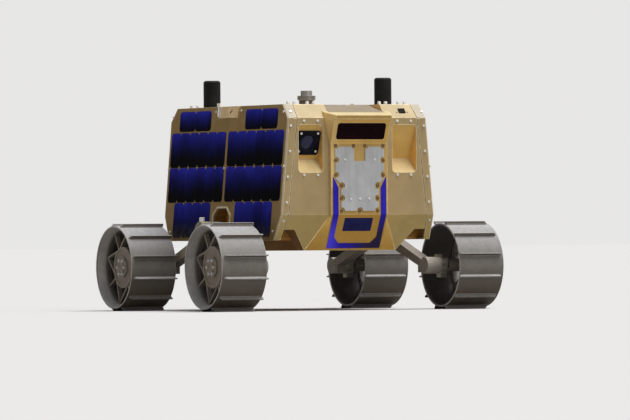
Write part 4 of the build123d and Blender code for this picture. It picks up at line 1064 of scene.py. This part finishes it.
class ROVER_OT_panel_screws(bpy.types.Operator):
    """Add the bright screws of the front and of the leaning sides"""

    bl_idname = "rover.panel_screws"
    bl_label = "Panel screws"

    def execute(self, context):
        sizes = context.scene.rover_sizes
        radius = sizes.panel_screw_radius
        height = sizes.panel_screw_height
        # screws on the front plane: distance from the middle, height
        front = [
            (87.6, 369.7), (117.6, 369.7), (87.6, 264.3), (117.6, 264.3),
            (146.5, 360.4), (148.8, 310.6), (153.7, 260.8), (156.5, 211.0),
        ]
        places = []
        for side in (-1, 1):
            for x, z in front:
                places.append(((side * x, FRONT_Y, z), FORWARD))
            places.append(((side * 161.0, -251.9, 175.5), CHIN_FACING))
            places.append(((side * 144.5 + 3.5, -246.8, 388.0), BROW_FACING))
        fasten("front_screws", places, radius, height, radius * 0.5)
        # screws on the leaning sides: place along the body, height
        flank = [
            (246.0, 386.3), (-239.0, 387.9), (-55.6, 393.5), (55.5, 393.5),
            (252.4, 281.2), (3.7, 281.1), (-254.7, 281.7), (-226.5, 155.6), (226.5, 155.6),
        ]
        places = []
        for side in (-1, 1):
            for y, z in flank:
                x = ROOF_HALF_WIDTH + SIDE_LEAN * (ROOF_Z - z)
                places.append(((side * x, y, z), (side, 0, SIDE_LEAN)))
        fasten("side_screws", places, radius * 0.95, height, radius * 0.48)
        return {"FINISHED"}


class ROVER_OT_deck_screws(bpy.types.Operator):
    """Add the deck's standing and flat screws, and those of the ramp, visor and port"""

    bl_idname = "rover.deck_screws"
    bl_label = "Deck screws"

    def execute(self, context):
        sizes = context.scene.rover_sizes
        radius = sizes.deck_screw_radius
        height = sizes.deck_screw_height
        places = []
        for side in (-1, 1):
            for x in (72.5, 86.5, 114.7, 128.5):
                places.append(((side * x, -212.0, ROOF_Z), UPWARD))
            for x in (114.7, 128.5):
                places.append(((side * x, 212.0, ROOF_Z), UPWARD))
        fasten("deck_screws", places, radius, height, radius * 0.5, round_rim=0.25)
        # flat screws round the deck's edge
        places = []
        for side in (-1, 1):
            for y in (-150.0, -90.0, -30.0, 30.0, 90.0, 150.0):
                places.append(((side * 118.0, y, ROOF_Z), UPWARD))
        for x in (-80.0, -40.0, 0.0, 40.0, 80.0):
            places.append(((x, 192.0, ROOF_Z), UPWARD))
        fasten("deck_edge_screws", places, 2.6 * MM, 0.9 * MM, 1.3 * MM)
        # small screws of the ramp and the visor, then of the port
        places = [
            ((-9.0, -187.8, 402.2), RAMP_FACING), ((-8.3, -197.5, 400.05), RAMP_FACING),
            ((9.0, -187.8, 402.2), RAMP_FACING), ((8.3, -197.5, 400.05), RAMP_FACING),
            ((-8.3, -277.7, 382.25), RAMP_FACING), ((8.3, -277.7, 382.25), RAMP_FACING),
        ]
        fasten("small_screws", places, 1.7 * MM, 1.0 * MM, 0.8 * MM, sides=12)
        places = [((92.6, -248.0, 386.75), BROW_FACING), ((115.4, -248.0, 386.75), BROW_FACING)]
        fasten("port_screws", places, 1.5 * MM, 0.8 * MM, 0.8 * MM,
               gold_screw_finish(), "bracket_gold", sides=12)
        return {"FINISHED"}


class ROVER_OT_fascia_screws(bpy.types.Operator):
    """Add the gold screws in the service plate's scallops and the bolts on its face"""

    bl_idname = "rover.fascia_screws"
    bl_label = "Fascia screws"

    def execute(self, context):
        radius = context.scene.rover_sizes.fascia_screw_radius
        places = []
        for side in (-1, 1):
            for x, z in ((52.3, 321.45), (12.5, 321.45), (52.3, 292.95), (52.3, 264.45),
                         (39.8, 243.45), (39.8, 218.95), (39.8, 194.45)):
                places.append(((side * x, FASCIA_Y, z), FORWARD))
        places.append(((0.0, FASCIA_Y, 194.45), FORWARD))
        fasten("scallop_screws", places, radius, 1.7 * MM, radius * 0.5,
               gold_screw_finish(), "bracket_gold")
        places = []
        for x, z in ((-32.5, 293.9), (32.5, 293.9), (-20.0, 217.0), (0.0, 217.7), (20.0, 217.7)):
            places.append(((x, FASCIA_Y - PLATE_THICK, z), FORWARD))
        fasten("plate_bolts", places, 2.2 * MM, 1.2 * MM, 1.1 * MM)
        return {"FINISHED"}


class ROVER_OT_camera_screws(bpy.types.Operator):
    """Add the four screws of the camera's plate"""

    bl_idname = "rover.camera_screws"
    bl_label = "Camera screws"

    def execute(self, context):
        reach = 18.25
        centre = Vector((-103.0, -248.0, 327.95))
        facing = Vector((0.0, -1.0, -0.346)).normalized()
        across = Vector((1.0, 0.0, 0.0))
        upright = facing.cross(across)
        places = []
        for side in (-1, 1):
            for end in (-1, 1):
                places.append((centre + reach * (side * across + end * upright), facing))
        fasten("camera_screws", places, 2.4 * MM, 1.3 * MM, 1.2 * MM)
        return {"FINISHED"}


class ROVER_OT_hub_bolts(bpy.types.Operator):
    """Add the ring of bolts on each wheel's boss"""

    bl_idname = "rover.hub_bolts"
    bl_label = "Hub bolts"

    def execute(self, context):
        bolts = 6
        circle = 15.0
        for corner in CORNERS:
            low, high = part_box("wheel_hub_" + corner)
            middle = (low + high) / 2 / MM
            side = 1 if middle.x > 0 else -1
            face = side * HUB_FACE_X
            places = []
            for index in range(bolts):
                turn = math.radians(360 / bolts * index)
                across = circle * math.cos(turn)
                upward = circle * math.sin(turn)
                places.append(((face, middle.y + across, middle.z + upward), (side, 0, 0)))
            fasten("hub_bolts_" + corner, places, 3.0 * MM, 5.0 * MM, 1.5 * MM,
                   body="wheel_" + corner, round_rim=0.15)
        return {"FINISHED"}


class ROVER_OT_pivot_screws(bpy.types.Operator):
    """Add the standing clamp screws round each rocker's pivot hub"""

    bl_idname = "rover.pivot_screws"
    bl_label = "Pivot screws"

    def execute(self, context):
        screws = 4
        hub_radius = 23.0
        places = []
        for side in (-1, 1):
            for index in range(screws):
                turn = math.radians(360 / screws * index)
                outward = Vector((0.0, math.cos(turn), math.sin(turn)))
                spot = Vector((side * PIVOT_SCREW_X, 0.0, PIVOT_Z)) + hub_radius * outward
                places.append((spot, outward))
        fasten("pivot_screws", places, 5.4 * MM, 9.0 * MM, 2.6 * MM, round_rim=0.12)
        return {"FINISHED"}


class ROVER_OT_rear_screws(bpy.types.Operator):
    """Add the screws of the rear cover"""

    bl_idname = "rover.rear_screws"
    bl_label = "Rear screws"

    def execute(self, context):
        sizes = context.scene.rover_sizes
        radius = sizes.panel_screw_radius
        # screws on the rear plane: distance from the middle, height
        rear = [
            (44.0, 364.0), (100.0, 364.0), (44.0, 200.0), (100.0, 200.0),
            (128.0, 310.0), (132.0, 255.0),
            (146.5, 360.4), (148.8, 310.6), (153.7, 260.8), (156.5, 211.0),
        ]
        places = []
        for side in (-1, 1):
            for x, z in rear:
                places.append(((side * x, -FRONT_Y, z), -FORWARD))
        fasten("rear_screws", places, radius, sizes.panel_screw_height, radius * 0.5)
        return {"FINISHED"}


class ROVER_OT_fascia_patch(bpy.types.Operator):
    """Add the plain navy patch on the fascia's chin"""

    bl_idname = "rover.fascia_patch"
    bl_label = "Fascia patch"

    def execute(self, context):
        width = 62.0 * MM
        thickness = 0.4 * MM
        corner = 1.5 * MM
        low = 155.0
        high = 180.5
        slope = Vector((0.0, -CHIN_SLOPE, 1.0)).normalized()
        length = (high - low) * math.hypot(1.0, CHIN_SLOPE) * MM
        let_go()
        bpy.ops.mesh.primitive_plane_add(size=1.0, location=(0, 0, 0))
        patch = bpy.context.object
        patch.name = "fascia_patch"
        patch.scale = (width, length, 1.0)
        bpy.ops.object.transform_apply(location=True, rotation=True, scale=True)
        bpy.ops.object.mode_set(mode="EDIT")
        bpy.ops.mesh.select_all(action="SELECT")
        bpy.ops.mesh.bevel(offset=corner, segments=3, affect="VERTICES")
        bpy.ops.mesh.select_all(action="SELECT")
        bpy.ops.mesh.extrude_region_move(TRANSFORM_OT_translate={"value": (0, 0, thickness)})
        bpy.ops.mesh.select_all(action="SELECT")
        bpy.ops.mesh.normals_make_consistent(inside=False)
        bpy.ops.object.mode_set(mode="OBJECT")
        middle_z = (low + high) / 2
        middle = Vector((0.0, FASCIA_Y + CHIN_SLOPE * (CHIN_Z - middle_z), middle_z)) * MM
        across = Vector((1.0, 0.0, 0.0))
        facing = across.cross(slope)
        turn = Matrix((across, slope, facing)).transposed().to_4x4()
        patch.matrix_world = Matrix.Translation(middle) @ turn
        hold([patch])
        bpy.ops.object.transform_apply(location=True, rotation=True, scale=True)
        let_go()
        navy = Finish("navy patch", 0.40, 0.0, 0.06)
        weave = navy.noise(1.2, detail=2.0)
        cloud = navy.noise(18.0, detail=3.0)
        tone = navy.mottle(cloud, (0.012, 0.012, 0.075), (0.019, 0.020, 0.115))
        navy.colour(navy.blend(navy.product(navy.edges(0.4 * MM), 0.5), tone, (0.06, 0.07, 0.18)))
        navy.rough(navy.span(cloud, 0.3, 0.7, 0.46, 0.34))
        navy.bump(weave, 0.02, 0.4)
        dress(patch, navy.material)
        return {"FINISHED"}


def seen_share(tree):
    """1 where the camera, a gloss or a glass looks, 0 for light that only bounces."""
    light_path = tree.nodes.new("ShaderNodeLightPath")
    seen = light_path.outputs["Is Camera Ray"]
    for kind in ("Is Glossy Ray", "Is Transmission Ray"):
        either = tree.nodes.new("ShaderNodeMath")
        either.operation = "MAXIMUM"
        tree.links.new(seen, either.inputs[0])
        tree.links.new(light_path.outputs[kind], either.inputs[1])
        seen = either.outputs["Value"]
    return seen


def bounce_or_show(tree, kind, bounced, shown, ending):
    """Give a surface one setting for bounced light and another where it is seen."""
    tree.nodes.clear()
    mixed = tree.nodes.new("ShaderNodeMixShader")
    tree.links.new(seen_share(tree), mixed.inputs["Fac"])
    for place, settings in ((1, bounced), (2, shown)):
        shader = tree.nodes.new(kind)
        for name, value in settings.items():
            shader.inputs[name].default_value = value
        tree.links.new(shader.outputs[0], mixed.inputs[place])
    output = tree.nodes.new(ending)
    tree.links.new(mixed.outputs["Shader"], output.inputs["Surface"])


class ROVER_OT_studio(bpy.types.Operator):
    """Set up the pale floor, the soft light and the camera"""

    bl_idname = "rover.studio"
    bl_label = "Studio"

    def execute(self, context):
        scene = context.scene
        studio = scene.rover_studio
        scene.view_settings.view_transform = "Standard"
        self.floor()
        self.room(scene, studio)
        self.lamp("key light", studio.key_strength, (0.25, -0.20, 0.947))
        self.lamp("front light", studio.front_strength, (0.25, -0.93, 0.25))
        self.camera(scene)
        return {"FINISHED"}

    def floor(self):
        """A wide pale floor; for indirect light it is darker than it shows."""
        width = 600.0
        let_go()
        bpy.ops.mesh.primitive_plane_add(size=width, location=(0, 0, 0))
        floor = bpy.context.object
        floor.name = "studio_floor"
        finish = bpy.data.materials.new("studio floor")
        finish.use_nodes = True
        bounce_or_show(finish.node_tree, "ShaderNodeBsdfDiffuse",
                       {"Color": (0.32, 0.312, 0.300, 1)}, {"Color": (0.565, 0.558, 0.550, 1)},
                       "ShaderNodeOutputMaterial")
        floor.data.materials.append(finish)
        let_go()

    def room(self, scene, studio):
        """An even room light, with a pale backdrop where the camera and gloss look."""
        world = bpy.data.worlds.new("studio room")
        scene.world = world
        world.use_nodes = True
        bounce_or_show(world.node_tree, "ShaderNodeBackground",
                       {"Color": (1, 0.99, 0.97, 1), "Strength": studio.room_strength},
                       {"Color": (1, 0.995, 0.985, 1), "Strength": studio.background},
                       "ShaderNodeOutputWorld")

    def lamp(self, name, strength, towards):
        """A wide soft distant lamp that stands in a direction and shines back from it."""
        softness = 40.0
        lamp = bpy.data.lights.new(name, "SUN")
        lamp.energy = strength
        lamp.angle = math.radians(softness)
        holder = bpy.data.objects.new(name, lamp)
        bpy.context.collection.objects.link(holder)
        holder.rotation_euler = Vector(towards).to_track_quat("Z", "Y").to_euler()

    def camera(self, scene):
        """The camera where the photograph was taken from, found from the body's corners."""
        yaw = 0.4759
        pitch = 0.0046
        roll = -0.0079
        place = (-6.7076, -13.0883, 0.1299)
        focal_length = 423.66
        flat = math.cos(pitch)
        ahead = Vector((math.sin(yaw) * flat, math.cos(yaw) * flat, math.sin(pitch)))
        level = Vector((math.cos(yaw), -math.sin(yaw), 0.0))
        above = level.cross(ahead)
        right = math.cos(roll) * level + math.sin(roll) * above
        up = math.cos(roll) * above - math.sin(roll) * level
        lens = bpy.data.cameras.new("photograph")
        lens.sensor_width = 36.0
        lens.lens = focal_length
        lens.clip_end = 1000.0
        camera = bpy.data.objects.new("photograph", lens)
        bpy.context.collection.objects.link(camera)
        turn = Matrix((right, up, -ahead)).transposed().to_4x4()
        camera.matrix_world = Matrix.Translation(place) @ turn
        scene.camera = camera


class ROVER_PT_sidebar(bpy.types.Panel):
    """The rover's operators and settings"""

    bl_label = "Rover"
    bl_idname = "ROVER_PT_sidebar"
    bl_space_type = "VIEW_3D"
    bl_region_type = "UI"
    bl_category = "Rover"

    def draw(self, context):
        """List the operators, then the settings in a box for each group."""
        layout = self.layout
        for step in STEPS:
            layout.operator(step.bl_idname)
        for group in ("rover_sizes", "rover_colours", "rover_studio"):
            box = layout.box()
            settings = getattr(context.scene, group)
            for name in settings.__annotations__:
                box.prop(settings, name)


# The operators, in the order in which they run
STEPS = (
    ROVER_OT_gold_panels,
    ROVER_OT_gold_fascia,
    ROVER_OT_solar_cells,
    ROVER_OT_glass,
    ROVER_OT_plate_and_band,
    ROVER_OT_black_parts,
    ROVER_OT_running_gear,
    ROVER_OT_panel_screws,
    ROVER_OT_deck_screws,
    ROVER_OT_fascia_screws,
    ROVER_OT_camera_screws,
    ROVER_OT_hub_bolts,
    ROVER_OT_pivot_screws,
    ROVER_OT_rear_screws,
    ROVER_OT_fascia_patch,
    ROVER_OT_studio,
)
GROUPS = (RoverSizes, RoverColours, RoverStudio)


def register():
    """Register the settings, the operators and the panel."""
    for group in GROUPS:
        bpy.utils.register_class(group)
    bpy.types.Scene.rover_sizes = bpy.props.PointerProperty(type=RoverSizes)
    bpy.types.Scene.rover_colours = bpy.props.PointerProperty(type=RoverColours)
    bpy.types.Scene.rover_studio = bpy.props.PointerProperty(type=RoverStudio)
    for step in STEPS:
        bpy.utils.register_class(step)
    bpy.utils.register_class(ROVER_PT_sidebar)


def unregister():
    """Take the panel, the operators and the settings out again."""
    bpy.utils.unregister_class(ROVER_PT_sidebar)
    for step in reversed(STEPS):
        bpy.utils.unregister_class(step)
    del bpy.types.Scene.rover_studio
    del bpy.types.Scene.rover_colours
    del bpy.types.Scene.rover_sizes
    for group in reversed(GROUPS):
        bpy.utils.unregister_class(group)


def main():
    """Build the rover's dressing and its studio."""
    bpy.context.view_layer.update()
    register()
    for step in STEPS:
        area, name = step.bl_idname.split(".")
        getattr(getattr(bpy.ops, area), name)()


if __name__ == "__main__":
    main()
